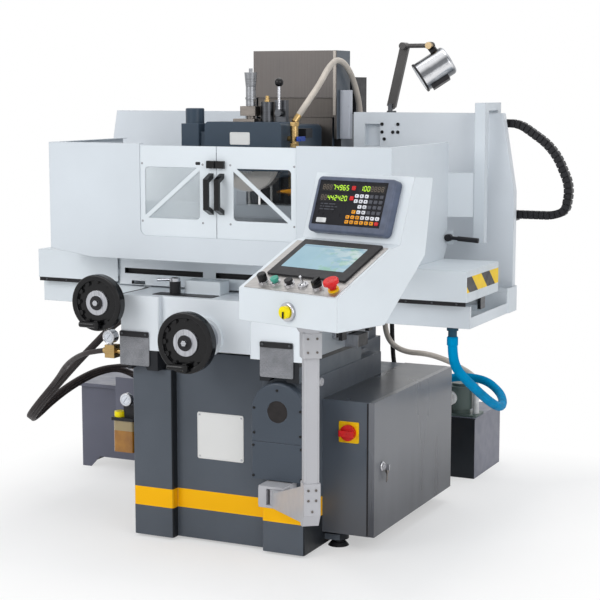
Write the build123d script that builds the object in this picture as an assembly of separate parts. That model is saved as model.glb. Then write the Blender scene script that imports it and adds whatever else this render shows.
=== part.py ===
from build123d import *
import os
from math import atan2, cos, degrees, pi, radians, sin, tan

# Hydraulic surface grinder, 250 mm by 500 mm table. Millimetres.
# X runs along the table, Y from the operator to the column, Z up from the floor.

# Driving dimensions
BASE_HALF = 290.0
BASE_BACK = 860.0
BASE_FOOT = 8.0
COLUMN_PROUD = 30.0
WAY_INNER = 152.0
WAY_TOP = 530.0
RAIL_HEIGHT = 11.0
HUMP_TOP = 588.0
SADDLE_TOP = 757.0
SADDLE_HALF = 312.0
SADDLE_BACK = 400.0
BED_HALF = 430.0
BED_TOP = 788.0
TABLE_TOP = 862.0
TABLE_FRONT = 130.0
TABLE_BACK = 410.0
TABLE_HALF = 731.0
CHUCK_HEIGHT = 100.0
GUARD_FRONT = -20.0
GUARD_LEFT = -585.0
GUARD_RIGHT = 555.0
GUARD_TOP = 1212.0
DOOR_HALF = 260.0
DOOR_SILL = 936.0
REAR_PANEL_Y = 550.0
REAR_PANEL_TOP = 1300.0
COLUMN_HALF = 146.0
COLUMN_FRONT = 560.0
COLUMN_TOP = 1495.0
SPINDLE_Z = 1163.0
WHEEL_Y = 195.0
WHEEL_RADIUS = 100.0
WHEEL_WIDTH = 20.0
CABINET_RIGHT = 440.0
CABINET_FRONT = 100.0
CABINET_BACK = 775.0
CABINET_TOP = 458.0
CONSOLE_WIDTH = 332.0
CONSOLE_FLOOR = 788.0
CONSOLE_TURN = 17.0
POST_X = 532.0
POST_Y = -508.0
POST_HALF = 20.0
SHEET = 2.0
GAP = 0.3

# Sizes that follow from them
RAIL_TOP = WAY_TOP + RAIL_HEIGHT
SADDLE_FLOOR = HUMP_TOP + 12.0
LEFT_RAIL = -250.0
RIGHT_RAIL = 220.0
RAIL_HALF = 30.0
TRAY_FLOOR = SADDLE_TOP - 67.0
TRAY_LIP = SADDLE_TOP - 2.0
TROUGH_INNER = COLUMN_HALF + 46.0
BOX_FLOOR = TABLE_TOP - 92.0
BOX_TOP = TABLE_TOP - 2.0
WINDOW_LOW = DOOR_SILL + 54.0
WINDOW_HIGH = GUARD_TOP - 69.0
HANDLE_LENGTH = 122.0
CROSS_Z = (SADDLE_FLOOR + SADDLE_TOP) / 2 - 36.5
CROSS_FACE = -164.0
CROSS_X = -32.0
RECESS_LEFT = -WAY_INNER - 25.0
RECESS_RIGHT = WAY_INNER - 24.0
BASE_SHOULDER = CABINET_TOP - 18.0
REAR_HALF = COLUMN_HALF + 19.0
CROSS_RADIUS = 91.0
TABLE_WHEEL_X = -344.0
TABLE_WHEEL_Z = SADDLE_TOP - 18.0
TABLE_WHEEL_FACE = -146.0
TABLE_WHEEL_RADIUS = 85.0
HOUSING_FLOOR = SPINDLE_Z - 60.0
HOUSING_TOP = SPINDLE_Z + 99.0
CARRIAGE_TOP = SPINDLE_Z + 120.0
GUARD_HOOD_FRONT = WHEEL_Y - 45.0
GUARD_HOOD_BACK = WHEEL_Y + 41.0
GUARD_HOOD_HALF = 130.0
GUARD_HOOD_TOP = SPINDLE_Z + 112.0
GUARD_HOOD_LOW = SPINDLE_Z - 35.0
COVER_SEAM = COLUMN_TOP - 150.0
COLUMN_SHOULDER = COLUMN_TOP - 205.0
POST_LEFT = GUARD_RIGHT + 73.0
POST_RIGHT = POST_LEFT + 34.0
CHAIN_Y = REAR_PANEL_Y + 56.0
LAMP_X = 318.0
LAMP_Y = REAR_PANEL_Y + 15.0
LAMP_FOOT = (LAMP_X, LAMP_Y, REAR_PANEL_TOP + 18.0)
LAMP_ELBOW = (LAMP_X + 44.0, LAMP_Y, REAR_PANEL_TOP + 207.0)
LAMP_WRIST = (LAMP_X + 131.0, LAMP_Y, REAR_PANEL_TOP + 207.0)
LAMP_AIM = (-0.76, -0.358, -0.545)
LAMP_CENTRE = (LAMP_X + 147.0, LAMP_Y - 8.0, REAR_PANEL_TOP + 136.0)
DRESSER_X = 6.0
LEVER_X = 98.0
LEVER_Z = GUARD_HOOD_TOP + 27.0
VALVE_X = GUARD_HOOD_HALF + 20.0
VALVE_Z = SPINDLE_Z + 62.0
NOZZLE_Z = SPINDLE_Z - 97.0
HUB_X = -168.0
HUB_Y = 25.0
CLAMP_X = GUARD_RIGHT + 12.0
CLAMP_Y = 420.0
CLAMP_Z = TABLE_TOP + 62.0
ARM_X = BASE_HALF - 54.0
ARM_Y = -112.0
ARM_ROOT_Z = 208.0
ELBOW_LOW = CONSOLE_FLOOR - 534.0
ELBOW_HIGH = CONSOLE_FLOOR - 416.0
SWITCH_X = (BASE_HALF + CABINET_RIGHT) / 2 + 12.0
SWITCH_Z = CABINET_TOP - 94.0
DOOR_HINGE = (CABINET_RIGHT + 5.0, CABINET_BACK - 1.0)
HYDRAULIC_RIGHT = -BASE_HALF - 95.0
HYDRAULIC_LEFT = HYDRAULIC_RIGHT - 548.0
HYDRAULIC_FRONT = 665.0
HYDRAULIC_LID = 312.0
COOLANT_FRONT = 1081.0
COOLANT_TOP = 215.0
COOLANT_LEFT = BASE_HALF - 150.0
COOLANT_RIGHT = BASE_HALF + 147.0
COOLANT_BACK = COOLANT_FRONT + 288.0
PUMP_X = BASE_HALF + 70.0
PUMP_Y = 1140.0

# Console in its own frame: x along its face, y to its back, both from the post
CONSOLE_FRONT = -90.0
LIP_HEIGHT = 84.0
PANEL_RISE = 27.0
PANEL_LENGTH = 234.0
READOUT_RISE = 71.3
READOUT_LENGTH = 179.0


# Basic shapes

def block(x0, x1, y0, y1, z0, z1):
    centre = Pos((x0 + x1) / 2, (y0 + y1) / 2, (z0 + z1) / 2)
    return centre * Box(x1 - x0, y1 - y0, z1 - z0)


def rod_x(radius, x0, x1, y, z):
    return Pos((x0 + x1) / 2, y, z) * Rot(0, 90, 0) * Cylinder(radius, x1 - x0)


def rod_y(radius, x, y0, y1, z):
    return Pos(x, (y0 + y1) / 2, z) * Rot(90, 0, 0) * Cylinder(radius, y1 - y0)


def rod_z(radius, x, y, z0, z1):
    return Pos(x, y, (z0 + z1) / 2) * Cylinder(radius, z1 - z0)


def slab_x(outline, x0, x1):
    plane = Plane(origin=(x0, 0, 0), x_dir=(0, 1, 0), z_dir=(1, 0, 0))
    return extrude(plane * Polygon(*outline, align=None), amount=x1 - x0, dir=(1, 0, 0))


def slab_y(outline, y0, y1):
    plane = Plane(origin=(0, y0, 0), x_dir=(1, 0, 0), z_dir=(0, -1, 0))
    return extrude(plane * Polygon(*outline, align=None), amount=y1 - y0, dir=(0, 1, 0))


def slab_z(outline, z0, z1):
    return extrude(Pos(0, 0, z0) * Polygon(*outline, align=None), amount=z1 - z0, dir=(0, 0, 1))


def soft_block(x0, x1, y0, y1, z0, z1, radius, axis=Axis.Z):
    body = block(x0, x1, y0, y1, z0, z1)
    return fillet(body.edges().filter_by(axis), radius)


def bar(start, end, radius):
    run = Vector(*end) - Vector(*start)
    low = (Align.CENTER, Align.CENTER, Align.MIN)
    return Plane(origin=start, z_dir=run) * Cylinder(radius, run.length, align=low)


def beam(start, end, width, height):
    run = Vector(*end) - Vector(*start)
    plane = Plane(origin=start, x_dir=(0, 1, 0), z_dir=run)
    return plane * Box(width, height, run.length, align=(Align.CENTER, Align.CENTER, Align.MIN))


def stub(route, radius, length):
    # Fitting that carries on a hose's first run backwards, to the piece it screws into
    start = Vector(*route[0])
    back = (start - Vector(*route[1])).normalized()
    return bar(tuple(start), tuple(start + back * length), radius)


def twin(shape):
    return mirror(shape, about=Plane.YZ)


def group(*shapes):
    solids = []
    for shape in shapes:
        solids += shape.solids()
    return Compound(solids)


# Base and column

def way_rail(centre):
    outline = [
        (centre - RAIL_HALF, WAY_TOP),
        (centre + RAIL_HALF, WAY_TOP),
        (centre + RAIL_HALF - 8, RAIL_TOP),
        (centre - RAIL_HALF + 8, RAIL_TOP),
    ]
    return slab_y(outline, -COLUMN_PROUD, COLUMN_FRONT - 10)


def rail_groove(centre):
    outline = [
        (centre - RAIL_HALF - GAP, WAY_TOP),
        (centre + RAIL_HALF + GAP, WAY_TOP),
        (centre + RAIL_HALF - 8 + GAP, RAIL_TOP + GAP),
        (centre - RAIL_HALF + 8 - GAP, RAIL_TOP + GAP),
    ]
    return slab_y(outline, -120, SADDLE_BACK + 40)


FOOT_SPOTS = [(side * (BASE_HALF + 32), y) for side in (-1, 1) for y in (150.0, BASE_BACK - 130)]
LUG_TOP = 40.0
LUG_LOW = 22.0


def base_casting():
    body = block(-BASE_HALF, BASE_HALF, 0, BASE_BACK, BASE_FOOT, WAY_TOP)
    body += block(-WAY_INNER + 4, WAY_INNER - 4, 0, BASE_BACK, WAY_TOP - 1, HUMP_TOP)
    front = soft_block(WAY_INNER, BASE_HALF, -COLUMN_PROUD, 30, BASE_FOOT, WAY_TOP, 7)
    body += front + twin(front)
    shoulder = block(REAR_HALF, BASE_HALF + 1, COLUMN_FRONT, BASE_BACK + 1, BASE_SHOULDER, WAY_TOP + 1)
    body -= shoulder + twin(shoulder)
    middle = BASE_BACK / 2
    for y0, y1, top in ((25, middle - 12, WAY_TOP), (middle + 12, BASE_BACK - 25, BASE_SHOULDER)):
        body -= block(25 - BASE_HALF, BASE_HALF - 25, y0, y1, 0, top - 28)
    body += way_rail(LEFT_RAIL) + way_rail(RIGHT_RAIL)
    for x, y in FOOT_SPOTS:
        inner = BASE_HALF - 6 if x > 0 else 6 - BASE_HALF
        low, high = min(inner, x), max(inner, x)
        lug = block(low, high, y - 32, y + 32, LUG_LOW, LUG_TOP) + rod_z(32, x, y, LUG_LOW, LUG_TOP)
        body += lug - rod_z(8.5, x, y, 0, 60)
    nut = block(CROSS_X - 24, CROSS_X + 24, 150, 200, HUMP_TOP - 1, CROSS_Z + 26)
    return body + nut - rod_y(14.4, CROSS_X, 100, 240, CROSS_Z)


def leveling_feet():
    feet = []
    for x, y in FOOT_SPOTS:
        pad = Pos(x, y, 5) * Cone(32, 24, 10)
        stem = rod_z(12, x, y, 9, LUG_LOW) + rod_z(8, x, y, 9, LUG_TOP + 7)
        nut = extrude(Pos(x, y, LUG_TOP) * RegularPolygon(14, 6), amount=7)
        feet.append(pad + stem + nut)
    return group(*feet)


def column_casting():
    body = block(-COLUMN_HALF, COLUMN_HALF, COLUMN_FRONT, BASE_BACK, HUMP_TOP, COLUMN_SHOULDER)
    body += block(-COLUMN_HALF, COLUMN_HALF, COLUMN_FRONT, COLUMN_FRONT + 65,
                  COLUMN_SHOULDER - 1, COLUMN_TOP - 15)
    wall = 30
    body -= block(wall - COLUMN_HALF, COLUMN_HALF - wall, COLUMN_FRONT + wall, BASE_BACK - 28,
                  HUMP_TOP - 1, COLUMN_SHOULDER - 28)
    rail = block(70, 120, COLUMN_FRONT - 15, COLUMN_FRONT + 1, HOUSING_FLOOR - 92, COLUMN_TOP - 25)
    body += rail + twin(rail)
    return body - block(-22, 22, COLUMN_FRONT - 1, COLUMN_FRONT + wall + 1,
                        SPINDLE_Z - 203, COLUMN_SHOULDER - 28)


LIFT_Y = COLUMN_FRONT + 80.0
RISER_X = COLUMN_HALF + 22.0
RISER_Y = COLUMN_FRONT + 105.0
RISER_BACK = BASE_BACK + 30.0
RISER_TOP = 1235.0
RISER_LOW = 600.0


def riser_pipe():
    bend = RISER_TOP - 85
    pipe = rod_z(10, RISER_X, RISER_Y, bend, RISER_TOP)
    pipe += Pos(RISER_X, RISER_Y, bend) * Sphere(10)
    pipe += rod_y(10, RISER_X, RISER_Y, RISER_BACK, bend)
    pipe += Pos(RISER_X, RISER_BACK, bend) * Sphere(10)
    pipe += rod_z(10, RISER_X, RISER_BACK, RISER_LOW, bend)
    pipe += rod_z(12.5, RISER_X, RISER_Y, RISER_TOP - 22, RISER_TOP - 8)
    for y in (RISER_Y + 50, BASE_BACK - 40):
        pipe += block(COLUMN_HALF, RISER_X, y, y + 16, bend - 8, bend + 8)
    return pipe


def column_cover():
    side = block(COLUMN_HALF, COLUMN_HALF + SHEET, COLUMN_FRONT - 40, COLUMN_FRONT + 65,
                 COLUMN_TOP - 280, COLUMN_TOP)
    side += block(COLUMN_HALF - 7, COLUMN_HALF + SHEET, COLUMN_FRONT - 40, COLUMN_FRONT - 38,
                  COLUMN_TOP - 280, COLUMN_TOP)
    cover = side + twin(side)
    cover += block(-COLUMN_HALF - SHEET, COLUMN_HALF + SHEET, COLUMN_FRONT - 42, COLUMN_FRONT - 40,
                   COVER_SEAM, COLUMN_TOP)
    return cover + block(-COLUMN_HALF, COLUMN_HALF, COLUMN_FRONT - 20, COLUMN_FRONT + 65,
                         COLUMN_TOP - SHEET, COLUMN_TOP)


def column_fittings():
    edge = COLUMN_HALF + SHEET
    scale = soft_block(edge, edge + 36, COLUMN_FRONT - 20, COLUMN_FRONT + 6,
                       COLUMN_TOP - 280, COLUMN_TOP - 125, 4)
    motor = block(20, 112, BASE_BACK - 100, BASE_BACK - 10, COLUMN_SHOULDER, COLUMN_SHOULDER + 122)
    screw = rod_z(16, 0, LIFT_Y, HUMP_TOP, COLUMN_SHOULDER - 28)
    junction = block(110, 150, BASE_BACK, BASE_BACK + 85, 745, 805)
    junction += block(149, 205, BASE_BACK + 45, BASE_BACK + 92, 745, 805)
    return group(column_cover(), scale, motor, screw, riser_pipe(), junction)


GEAR_LEFT = BASE_HALF - 156.0
GEAR_RIGHT = BASE_HALF + 16.0
GEAR_FRONT = -COLUMN_PROUD - 35.0
GEAR_LOW = 237.0
GEAR_SEAM = 350.0
GEAR_RADIUS = (GEAR_RIGHT - GEAR_LEFT) / 2
GEAR_ARCH = WAY_TOP - 2 - GEAR_RADIUS
GEAR_X = (GEAR_LEFT + GEAR_RIGHT) / 2


def gear_arch(inset, front):
    body = block(GEAR_LEFT + inset, GEAR_RIGHT - inset, front, -COLUMN_PROUD, GEAR_SEAM + 0.5, GEAR_ARCH)
    return body + rod_y(GEAR_RADIUS - inset, GEAR_X, front, -COLUMN_PROUD, GEAR_ARCH)


def gear_covers():
    upper = gear_arch(0, GEAR_FRONT)
    rim = upper.faces().sort_by(Axis.Y)[0].edges().sort_by(Axis.Z)[1:]
    upper = fillet(rim, 7) - gear_arch(8, GEAR_FRONT + 4)
    upper -= rod_y(33, GEAR_X, GEAR_FRONT - 5, GEAR_FRONT + 10, GEAR_ARCH)
    lower = block(GEAR_LEFT, GEAR_RIGHT, GEAR_FRONT, -COLUMN_PROUD, GEAR_LOW, GEAR_SEAM - 0.5)
    lower = fillet(lower.faces().sort_by(Axis.Y)[0].edges().filter_by(Axis.Z), 7)
    lower -= block(GEAR_LEFT + 8, GEAR_RIGHT - 8, GEAR_FRONT + 4, 0, GEAR_LOW + 4, GEAR_SEAM)
    plug = rod_y(33, GEAR_X, GEAR_FRONT + 0.8, GEAR_FRONT + 7, GEAR_ARCH)
    plug += rod_y(36, GEAR_X, GEAR_FRONT + 4, GEAR_FRONT + 7, GEAR_ARCH)
    spots = [(GEAR_X, GEAR_ARCH + 64)]
    spots += [(GEAR_X + side * 75, z) for side in (-1, 1) for z in (GEAR_ARCH + 8, GEAR_SEAM + 26)]
    screws = [rod_y(4, x, GEAR_FRONT - 2.5, GEAR_FRONT, z) for x, z in spots]
    screws += [rod_y(4, GEAR_X + side * 78, GEAR_FRONT - 2.5, GEAR_FRONT, z)
               for side in (-1, 1) for z in (GEAR_SEAM - 12, GEAR_LOW + 10)]
    return group(upper, lower, plug, *screws)


# Electrical cabinet

CABINET_LOW = 50.0
DOOR_DEPTH = 18.0


def cabinet_shell():
    outer = block(BASE_HALF, CABINET_RIGHT, CABINET_FRONT, CABINET_BACK, CABINET_LOW, CABINET_TOP)
    inner = block(BASE_HALF + 2, CABINET_RIGHT + 1, CABINET_FRONT + 2, CABINET_BACK - 2,
                  CABINET_LOW + 2, CABINET_TOP - 2)
    shell = outer - inner
    plate = block(BASE_HALF + 2, BASE_HALF + 5, 130, 745, 80, 430)
    gear = []
    for row, z in enumerate((350.0, 235.0, 120.0)):
        count = 6 - row
        for k in range(count):
            y = 160.0 + k * 92
            gear.append(block(BASE_HALF + 5, BASE_HALF + 70, y, y + 62, z, z + 70))
    legend = soft_block(SWITCH_X - 32, SWITCH_X + 32, CABINET_FRONT - 3, CABINET_FRONT,
                        SWITCH_Z - 32, SWITCH_Z + 32, 4, Axis.Y)
    return group(shell, plate, legend, *gear)


def cabinet_door():
    inside = CABINET_RIGHT + GAP
    face = inside + DOOR_DEPTH
    door = soft_block(inside, face, CABINET_FRONT, CABINET_BACK - 3, CABINET_LOW, CABINET_TOP, 1.5, Axis.X)
    door -= block(inside - 1, face - SHEET, CABINET_FRONT + SHEET, CABINET_BACK - 3 - SHEET,
                  CABINET_LOW + SHEET, CABINET_TOP - SHEET)
    for z in (CABINET_LOW + 70, CABINET_TOP - 90):
        door += rod_z(4, *DOOR_HINGE, z, z + 40)
    lock = rod_x(11, face, face + 6, CABINET_FRONT + 68, CABINET_TOP - 205)
    key = block(face + 6, face + 22, CABINET_FRONT + 66.5, CABINET_FRONT + 69.5,
                CABINET_TOP - 214, CABINET_TOP - 196)
    return group(door, lock + key)


def main_switch():
    front = CABINET_FRONT - 3 - GAP
    knob = rod_y(24, SWITCH_X, front - 12, front, SWITCH_Z)
    return knob + soft_block(SWITCH_X - 24, SWITCH_X + 24, front - 27, front - 11,
                             SWITCH_Z - 9, SWITCH_Z + 9, 5)


# Hydraulic tank, lubricator, coolant tank

def hydraulic_unit():
    x0, x1, y0, y1 = HYDRAULIC_LEFT, HYDRAULIC_RIGHT, HYDRAULIC_FRONT, HYDRAULIC_FRONT + 335
    skirt = [(x0, 0), (x0 + 36, 0), (x0 + 74, 40), (x1 - 74, 40), (x1 - 36, 0), (x1, 0),
             (x1, HYDRAULIC_LID - 12), (x0, HYDRAULIC_LID - 12)]
    tank = slab_y(skirt, y0, y1)
    tank -= block(x0 + 3, x1 - 3, y0 + 3, y1 - 3, 0, 42)
    lid = block(x0 - 18, x1 + 14, y0 - 15, y1 + 15, HYDRAULIC_LID - 12, HYDRAULIC_LID)
    motor = rod_z(68, x1 - 105, y0 + 190, HYDRAULIC_LID + 20, HYDRAULIC_LID + 210)
    motor += rod_z(84, x1 - 105, y0 + 190, HYDRAULIC_LID, HYDRAULIC_LID + 22)
    motor += block(x1 - 185, x1 - 125, y0 + 160, y0 + 220, HYDRAULIC_LID + 90, HYDRAULIC_LID + 150)
    below = block(x0 - 50, x1, y0 - 50, y1, 0, HYDRAULIC_LID)
    ports = [stub(route[::-1], 8, 120) - below for route in HYDRAULIC_ROUTES]
    return group(tank, lid, motor, *ports)


LUBE_X = -BASE_HALF - 59.0
LUBE_Y = 35.0
LUBE_LOW = 250.0


def lubricator():
    glass = soft_block(LUBE_X - 36, LUBE_X + 36, LUBE_Y - 30, LUBE_Y + 30, LUBE_LOW, LUBE_LOW + 100, 9)
    head = soft_block(LUBE_X - 42, LUBE_X + 42, LUBE_Y - 35, LUBE_Y + 35, LUBE_LOW + 100, LUBE_LOW + 110, 6)
    head += block(LUBE_X - 5, LUBE_X + 34, LUBE_Y - 16, LUBE_Y + 30, LUBE_LOW + 110, LUBE_LOW + 148)
    cap = rod_z(17, LUBE_X - 20, LUBE_Y - 14, LUBE_LOW + 110, LUBE_LOW + 127)
    dial = rod_y(20, LUBE_X + 12, LUBE_Y - 32, LUBE_Y - 16, LUBE_LOW + 168)
    dial += rod_z(5, LUBE_X + 12, LUBE_Y - 10, LUBE_LOW + 148, LUBE_LOW + 170)
    dial += rod_y(6, LUBE_X + 12, LUBE_Y - 17, LUBE_Y - 6, LUBE_LOW + 168)
    plate = block(LUBE_X - 115, -BASE_HALF, 150, 154, LUBE_LOW, LUBE_LOW + 205)
    plate += block(-BASE_HALF - 20, -BASE_HALF, 120, 154, LUBE_LOW, LUBE_LOW + 205)
    plate += block(LUBE_X - 30, LUBE_X + 30, LUBE_Y + 35, 150, LUBE_LOW + 102, LUBE_LOW + 108)
    return group(glass, head, cap, dial, plate)


def coolant_unit():
    tank = block(COOLANT_LEFT, COOLANT_RIGHT, COOLANT_FRONT, COOLANT_BACK, 0, COOLANT_TOP)
    lid = block(COOLANT_LEFT - 3, COOLANT_RIGHT + 3, COOLANT_FRONT - 3, COOLANT_BACK + 3,
                COOLANT_TOP, COOLANT_TOP + 4)
    top = COOLANT_TOP + 4
    pump = soft_block(PUMP_X - 55, PUMP_X + 76, PUMP_Y - 50, PUMP_Y + 50, top, top + 7, 12)
    pump += rod_z(38, PUMP_X, PUMP_Y, top + 6, top + 24) + rod_z(46, PUMP_X, PUMP_Y, top + 22, top + 104)
    pump += rod_z(30, PUMP_X, PUMP_Y, top + 100, top + 114)
    pipe = rod_z(11, PUMP_X + 61, PUMP_Y - 2, top + 7, top + 84)
    box = rod_y(25, PUMP_X - 20, PUMP_Y - 66, PUMP_Y - 40, top + 64)
    socket = stub(DRAIN_ROUTE[::-1], 17, 60)
    socket -= block(COOLANT_LEFT, COOLANT_RIGHT, COOLANT_FRONT, COOLANT_BACK, 0, top)
    return group(tank, lid, pump, pipe, box - rod_z(46, PUMP_X, PUMP_Y, 0, 500), socket)


# Saddle

# Stepped boss behind the cross feed wheel: radius, front and back
CROSS_BOSS = [
    (62, -52, -40),
    (52, -72, -50),
    (47, -76, -71),
    (50, -92, -75),
    (44, -108, -91),
    (36, -112, -107),
]


def saddle_casting():
    body = block(-SADDLE_HALF, SADDLE_HALF, -40, SADDLE_BACK, SADDLE_FLOOR, SADDLE_TOP)
    for x0, x1 in ((-SADDLE_HALF, RECESS_LEFT), (RECESS_RIGHT, SADDLE_HALF)):
        body += soft_block(x0, x1, -60, 0, SADDLE_FLOOR - 8, SADDLE_TOP, 6)
    for x0, x1 in ((-288, RECESS_LEFT - 7), (RECESS_RIGHT + 32, 288)):
        body += block(x0, x1, -58, SADDLE_BACK, WAY_TOP + GAP, SADDLE_FLOOR + 1)
    body -= rail_groove(LEFT_RAIL) + rail_groove(RIGHT_RAIL)
    body -= block(-WAY_INNER + 12, WAY_INNER - 12, -20, SADDLE_BACK - 20, SADDLE_FLOOR - 1, SADDLE_TOP - 17)
    body += block(-BED_HALF, BED_HALF, 205, 375, SADDLE_TOP - 42, BED_TOP)
    for y in (222.0, 338.0):
        body += bed_rail(y, 0)
    body -= block(-BED_HALF - 1, BED_HALF + 1, 262, 318, SADDLE_TOP - 30, SADDLE_TOP + 22)
    for radius, y0, y1 in CROSS_BOSS:
        body += rod_y(radius, CROSS_X, y0, y1, CROSS_Z)
    reach, front, back = CROSS_BOSS[0]
    body -= block(CROSS_X - reach, CROSS_X + reach, front, back, CROSS_Z - reach, HUMP_TOP + 2)
    body += rod_y(22, TABLE_WHEEL_X, 158, 206, TABLE_WHEEL_Z)
    arm = block(TROUGH_INNER + 4, SADDLE_HALF, SADDLE_BACK - 10, REAR_PANEL_Y + 31,
                TRAY_FLOOR - 14, TRAY_FLOOR)
    body += arm + twin(arm)
    body -= rod_y(14.4, CROSS_X, -200, 0, CROSS_Z)
    return body - rod_y(12.4, TABLE_WHEEL_X, 100, 250, TABLE_WHEEL_Z)


def bed_rail(y, grow):
    outline = [
        (y - 13 - grow, BED_TOP - 1),
        (y + 13 + grow, BED_TOP - 1),
        (y + 9 + grow, BED_TOP + 12 + grow),
        (y - 9 - grow, BED_TOP + 12 + grow),
    ]
    length = BED_HALF if grow == 0 else TABLE_HALF
    return slab_x(outline, -length, length)


def pan(outline, hollow, floor, lip):
    return slab_z(outline, floor, lip) - slab_z(hollow, floor + SHEET, lip + 1)


def tray():
    x0, x1, y0, y1 = SADDLE_HALF, TABLE_HALF, 150.0, REAR_PANEL_Y - 50
    body = block(x0, x1, y0, y1, TRAY_FLOOR, TRAY_LIP)
    body -= block(x0 - 1, x1 - SHEET, y0 + SHEET, y1 - SHEET, TRAY_FLOOR + SHEET, TRAY_LIP + 1)
    body -= block(x1 - 5, x1 + 1, y0 + 12, y1 - SHEET, TRAY_FLOOR + 32, TRAY_LIP + 1)
    end = TABLE_HALF + 5
    back = REAR_PANEL_Y + 31
    body += pan(
        [(TROUGH_INNER, y1), (end - 5, y1), (end, y1 + 5), (end, back), (TROUGH_INNER, back)],
        [(TROUGH_INNER + 2, y1 + 2), (end - 6, y1 + 2), (end - 2, y1 + 6), (end - 2, back - 2),
         (TROUGH_INNER + 2, back - 2)],
        TRAY_FLOOR, TRAY_LIP + 13)
    return body


DRAIN_X = TABLE_HALF - 63.0
DRAIN_Y = 182.0


def saddle_trays():
    right = tray()
    right += rod_z(17, DRAIN_X, DRAIN_Y, TRAY_FLOOR - 12, TRAY_FLOOR)
    right += rod_z(13, DRAIN_X, DRAIN_Y, TRAY_FLOOR - 30, TRAY_FLOOR - 11)
    right -= rod_z(10, DRAIN_X, DRAIN_Y, TRAY_FLOOR - 40, TRAY_FLOOR + 10)
    left = twin(tray()) - rod_y(15, TABLE_WHEEL_X, 100, 156, TABLE_WHEEL_Z)
    above = block(-TABLE_HALF, -SADDLE_HALF, 100, 300, TRAY_FLOOR, TRAY_LIP + 50)
    stubs = [stub(route, 10, 90) - above for route in HYDRAULIC_ROUTES[:2]]
    return group(right, left, *stubs)


def way_wiper(x0, x1):
    flap = soft_block(x0, x1, -63, -60, RAIL_TOP + 2, SADDLE_FLOOR + 48, 5, Axis.Y)
    strip = soft_block(x0 + 1, x1 - 1, -66, -62.5, SADDLE_FLOOR + 31, SADDLE_FLOOR + 47, 4, Axis.Y)
    for x in (x0 + 10, x1 - 10):
        strip += rod_y(3.5, x, -68, -65, SADDLE_FLOOR + 40)
    return flap + strip


def saddle_trim():
    rail = block(SADDLE_HALF, SADDLE_HALF + 12, 120, SADDLE_BACK, SADDLE_FLOOR + 40, SADDLE_FLOOR + 62)
    dogs = [block(SADDLE_HALF + 12, SADDLE_HALF + 24, y, y + 34, SADDLE_FLOOR + 30, SADDLE_FLOOR + 66)
            for y in (140.0, 345.0)]
    switch = block(SADDLE_HALF, SADDLE_HALF + 44, 215, 290, SADDLE_FLOOR, SADDLE_FLOOR + 38)
    left = way_wiper(-BASE_HALF - 23, -BASE_HALF + 79)
    right = way_wiper(BASE_HALF - 127, BASE_HALF - 20)
    return group(left, right, rail, *dogs, switch)


def panel_outline(inset, foot):
    slope = inset * 0.2
    return [
        (TROUGH_INNER + SHEET + inset, foot),
        (TABLE_HALF - inset, foot),
        (TABLE_HALF - inset, REAR_PANEL_TOP - 239 - slope),
        (TABLE_HALF - 40 - inset, REAR_PANEL_TOP - inset),
        (TROUGH_INNER + SHEET + inset, REAR_PANEL_TOP - inset),
    ]


def rear_panel():
    depth = 27
    foot = TRAY_FLOOR + SHEET
    panel = slab_y(panel_outline(0, foot), REAR_PANEL_Y, REAR_PANEL_Y + depth)
    return panel - slab_y(panel_outline(SHEET, foot - 1), REAR_PANEL_Y + SHEET, REAR_PANEL_Y + depth + 1)


def rear_panels():
    right = rear_panel()
    x0, x1, z0, z1 = TROUGH_INNER + 41, TROUGH_INNER + 93, REAR_PANEL_TOP - 106, REAR_PANEL_TOP - 37
    right += block(x0 - 2, x1 + 2, REAR_PANEL_Y, REAR_PANEL_Y + 24, z0 - 2, z1 + 2)
    right -= block(x0, x1, REAR_PANEL_Y - 1, REAR_PANEL_Y + 22, z0, z1)
    for x, drop in ((292, 37), (346, 37), (292, 62), (329, 62), (346, 62), (300, 84)):
        right -= rod_y(4, x, REAR_PANEL_Y - 1, REAR_PANEL_Y + 4, REAR_PANEL_TOP - drop)
    bracket = block(TABLE_HALF - 41, TABLE_HALF - SHEET, REAR_PANEL_Y + SHEET, CHAIN_Y + 14,
                    CHAIN_LOW - LINK_HIGH / 2 - 5.5, CHAIN_LOW - LINK_HIGH / 2)
    foot = rod_z(15, LAMP_X, LAMP_Y, REAR_PANEL_TOP, REAR_PANEL_TOP + 5)
    foot += block(LAMP_X - 7, LAMP_X + 7, LAMP_Y - 14, LAMP_Y - 8, REAR_PANEL_TOP + 4, REAR_PANEL_TOP + 27)
    return group(right, twin(rear_panel()), bracket, foot)


def valve_gear():
    box = soft_block(-147, -24, 45, 105, SADDLE_TOP, SADDLE_TOP + 40, 3)
    hub = rod_z(17, HUB_X, HUB_Y, SADDLE_TOP, SADDLE_TOP + 38)
    hub += rod_z(9, HUB_X, HUB_Y, SADDLE_TOP, SADDLE_TOP + 50)
    dial = rod_y(21, -375, -28, -2, 617)
    dial += rod_z(6, -375, -12, 588, 602)
    brass = block(-390, -356, -28, 6, 552, 592) + rod_x(8, -358, -288, -10, 572)
    brass += stub(HYDRAULIC_ROUTES[2], 10, 20)
    return group(box, hub, dial, brass)


def reversing_lever():
    low = SADDLE_TOP + 38 + GAP
    lever = rod_z(16, HUB_X, HUB_Y, low, low + 10) - rod_z(9.3, HUB_X, HUB_Y, low - 1, low + 20)
    return lever + bar((HUB_X - 12, HUB_Y, low + 5), (HUB_X - 62, HUB_Y, low + 1), 4.5)


def table_cylinder():
    tube = rod_x(24, -BED_HALF + 8, BED_HALF - 8, 290, SADDLE_TOP - 5)
    for x in (-BED_HALF + 20, 0, BED_HALF - 20):
        tube += block(x - 12, x + 12, 262, 318, SADDLE_TOP - 30, SADDLE_TOP + 18)
    return tube - rod_x(11.3, -BED_HALF, BED_HALF, 290, SADDLE_TOP - 5)


# Handwheels

# The folding grip turns about an upright pin in front of the rim
GRIP_X = 8.0
GRIP_IN = 20.0


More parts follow.
